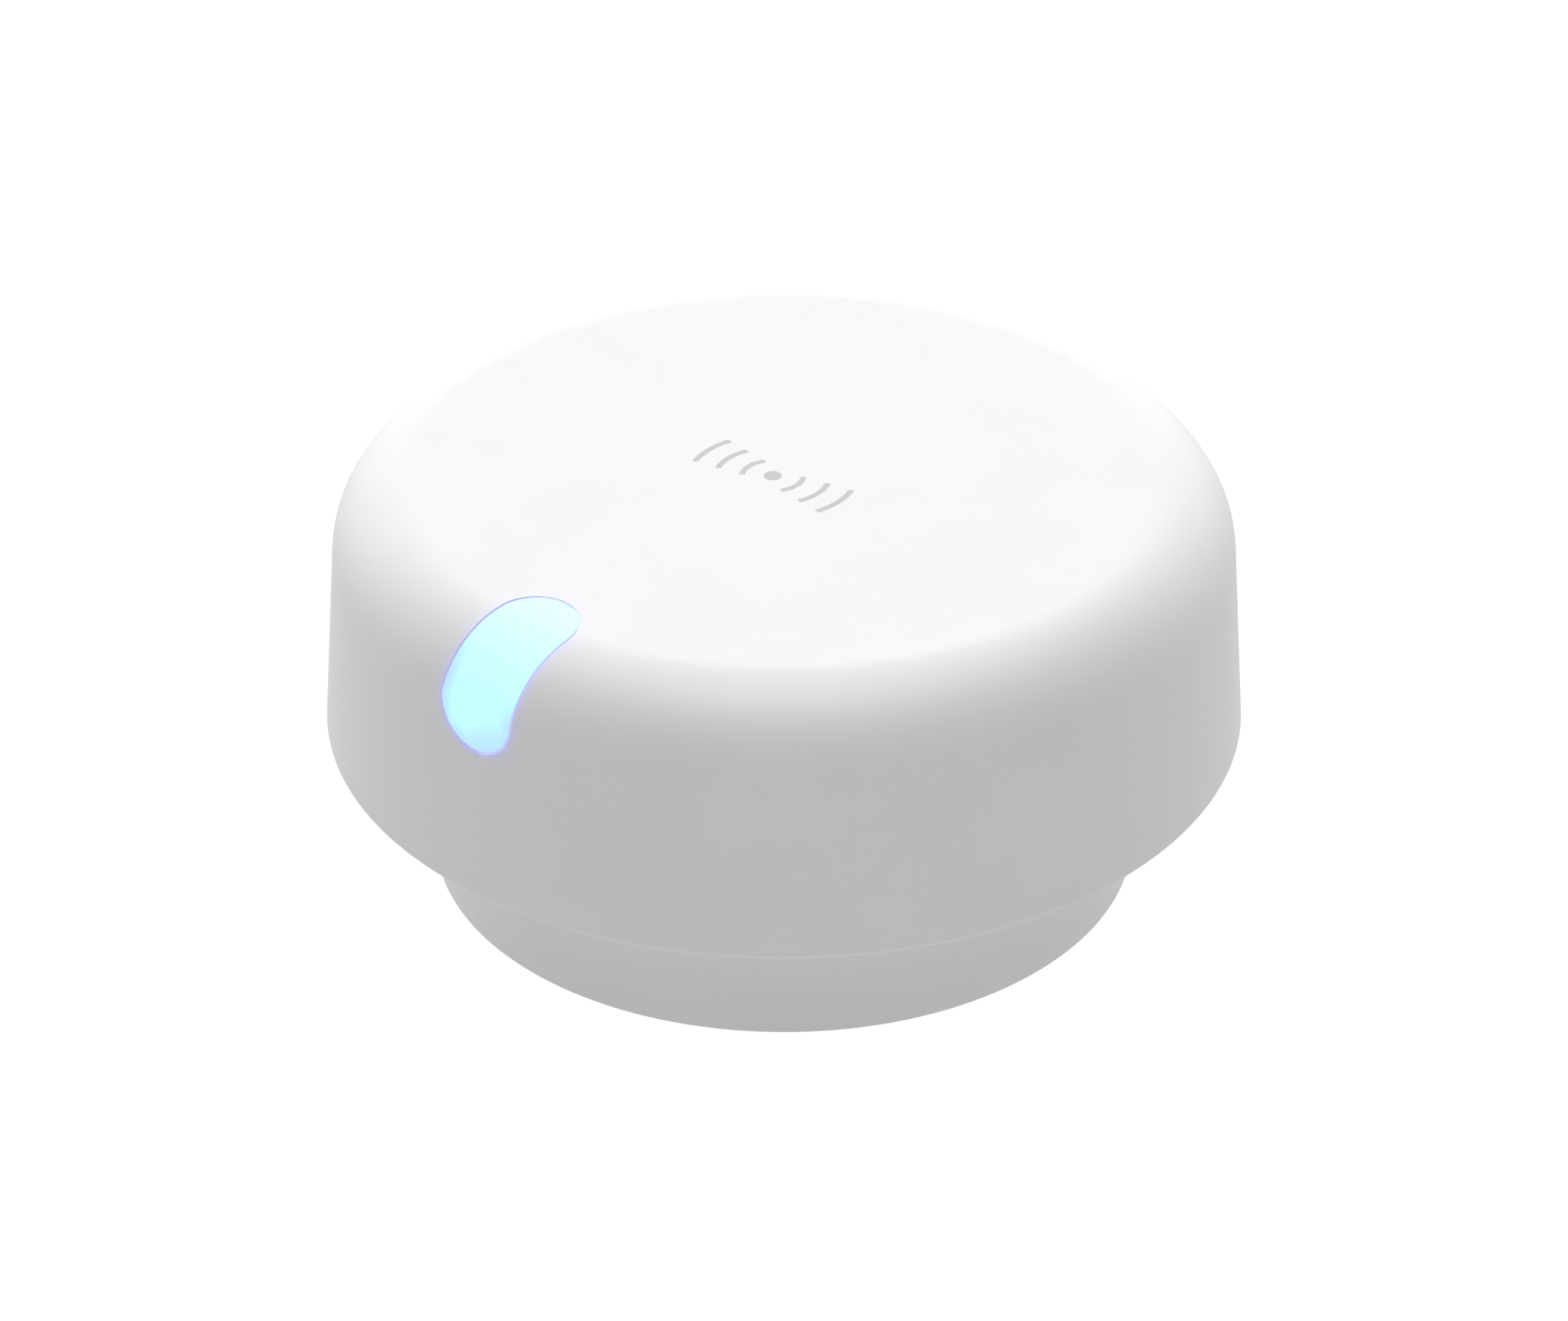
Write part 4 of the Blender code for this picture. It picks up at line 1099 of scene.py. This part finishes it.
def board_mask():
    """Solder mask with the faint relief of the copper under it."""
    look = new_look("solder_mask")
    tracks = look.node("TexVoronoi", {"Vector": look.position(),
                                      "Scale": 1 / (TRACK_SIZE * MM)}, "Distance",
                       distance="MANHATTAN")
    look.feed(look.shader, {"Base Color": look.tint(tracks, MASK_SHADES),
                            "Roughness": MASK_ROUGHNESS})
    look.relief(tracks, TRACK_RELIEF)
    return look.owner


def rubber():
    look = new_look("foot_rubber")
    grain = look.noise(look.position(), *RUBBER_GRAIN)
    look.feed(look.shader, {"Base Color": look.tint(grain, RUBBER_SHADES),
                            "Roughness": RUBBER_ROUGHNESS})
    look.relief(grain, RUBBER_DEPTH)
    return look.owner


# ---------------- stage, light and camera
AZIMUTH = math.radians(39.7)       # the camera's, from straight ahead
ELEVATION = math.radians(31.6)
DISTANCE = 346.8
AIM_Z = 14.13
LENS = 113.9                       # focal length, on a sensor of this width
SENSOR_WIDTH = 36.0
CLIP = (0.01, 20.0)                # in metres
FLOOR_SIZE = 8.0                   # in metres
FLOOR_AIR = 0.05
FLOOR_LIGHT = 0.98
FLOOR_GREY = 0.06
TOP_LEAN = math.radians(3)         # the softbox hangs a little towards the camera
TOP_FADE = (0.86, 0.97)            # cosines from its middle where it starts and is full
SKY_TOP = 4.95
BACK_AZIMUTH = AZIMUTH + math.radians(5)    # the bright wall sits a little left of the view
BACK_FADE = (0.22, 0.89)
SKY_BACK = 2.06


def make_stage():
    bpy.ops.mesh.primitive_plane_add(size=FLOOR_SIZE, location=(0, 0, -FLOOR_AIR * MM))
    floor = bpy.context.object
    floor.name = "floor"
    look = new_look("floor_pale")
    look.feed(look.shader, {
        "Base Color": (FLOOR_GREY, FLOOR_GREY, FLOOR_GREY, 1), "Roughness": 1.0,
        "Specular IOR Level": 0.0, "Emission Color": (1, 1, 1, 1),
        "Emission Strength": FLOOR_LIGHT})
    floor.data.materials.append(look.owner)


def towards(azimuth, elevation):
    """A unit vector from the object; azimuth 0 is straight ahead of it, towards -Y."""
    return Vector((math.sin(azimuth) * math.cos(elevation),
                   -math.cos(azimuth) * math.cos(elevation), math.sin(elevation)))


def make_world():
    """A dark studio with a wide softbox overhead and a bright wall behind the object."""
    world = bpy.data.worlds.new("studio")
    bpy.context.scene.world = world
    look = Look(world, "Background")
    direction = look.node("TexCoord", {}, "Generated")
    wall = -towards(BACK_AZIMUTH, 0)
    softbox = towards(AZIMUTH, math.pi / 2 - TOP_LEAN)
    back = look.ramp(look.component(direction, wall), *BACK_FADE, SKY_BACK)
    top = look.ramp(look.component(direction, softbox), *TOP_FADE, SKY_TOP)
    look.feed(look.shader, {"Color": (1, 1, 1, 1), "Strength": look.math("ADD", back, top)})


def make_camera():
    data = bpy.data.cameras.new("camera")
    data.sensor_fit = "HORIZONTAL"
    data.sensor_width = SENSOR_WIDTH
    data.lens = LENS
    data.clip_start, data.clip_end = CLIP
    camera = bpy.data.objects.new("camera", data)
    bpy.context.scene.collection.objects.link(camera)
    out = towards(AZIMUTH, ELEVATION)
    camera.location = (Vector((0, 0, AIM_Z)) + out * DISTANCE) * MM
    camera.rotation_euler = (-out).to_track_quat("-Z", "Y").to_euler()
    bpy.context.scene.camera = camera


# ---------------- assembly
def place(piece, body, material, slot_name, *nodes):
    piece.data.materials.clear()
    piece.data.materials.append(material)
    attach(piece, body)
    if nodes:
        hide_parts(*nodes)


def main():
    make_camera()
    white = moulded("white_shell", WHITE, WHITE_ROUGHNESS)
    by_slot = {
        "white_shell": white,
        "lit_plastic": lit_plastic(),
        "inner_plastic": moulded("inner_plastic", (0.50, 0.51, 0.52), 0.5),
        "black_plastic": moulded("black_plastic", (0.022, 0.022, 0.024), 0.45, vary=0.2),
        "foot_rubber": rubber(),
        "steel": metal("plated_steel", (0.66, 0.66, 0.67), 0.28),
        "circuit_board": board_mask(),
        "copper": metal("gold_flash", (0.86, 0.60, 0.26), 0.3),
        "component_body": moulded("component_body", (0.68, 0.62, 0.48), 0.45, vary=0.08),
        "ribbon_film": moulded("ribbon_film", (0.70, 0.30, 0.04), 0.25, vary=0.1),
    }
    for part in frame["record"]["subparts"]:
        node = frame["nodes"][part["node"]]
        node.data.materials.clear()
        node.data.materials.append(by_slot[part["material_slot"]])
    place(make_front_shell(), "head", glowing_shell(), "white_shell", "front_shell")
    place(make_button(), "button", by_slot["lit_plastic"], "lit_plastic", "light_button")
    place(make_rear_shell(), "head", white, "white_shell", "rear_shell")
    place(make_hub(), "hub", white, "white_shell", "hub_plate")
    place(make_base(), "stand", white, "white_shell", "base_shell")
    place(make_foot(), "stand", by_slot["foot_rubber"], "foot_rubber", "foot_pad")
    place(make_socket(), "head", by_slot["steel"], "steel", "usb_socket_shell")
    place(make_tongue(), "head", by_slot["black_plastic"], "black_plastic", "usb_socket_tongue")
    place(make_contacts(), "head", by_slot["copper"], "copper")
    place(make_pin(), "stand", by_slot["steel"], "steel", "hinge_pin")
    place(make_mark(), "head", printed_ink(), "inner_plastic")
    make_stage()
    make_world()
    bpy.context.scene.view_settings.view_transform = "Standard"


main()
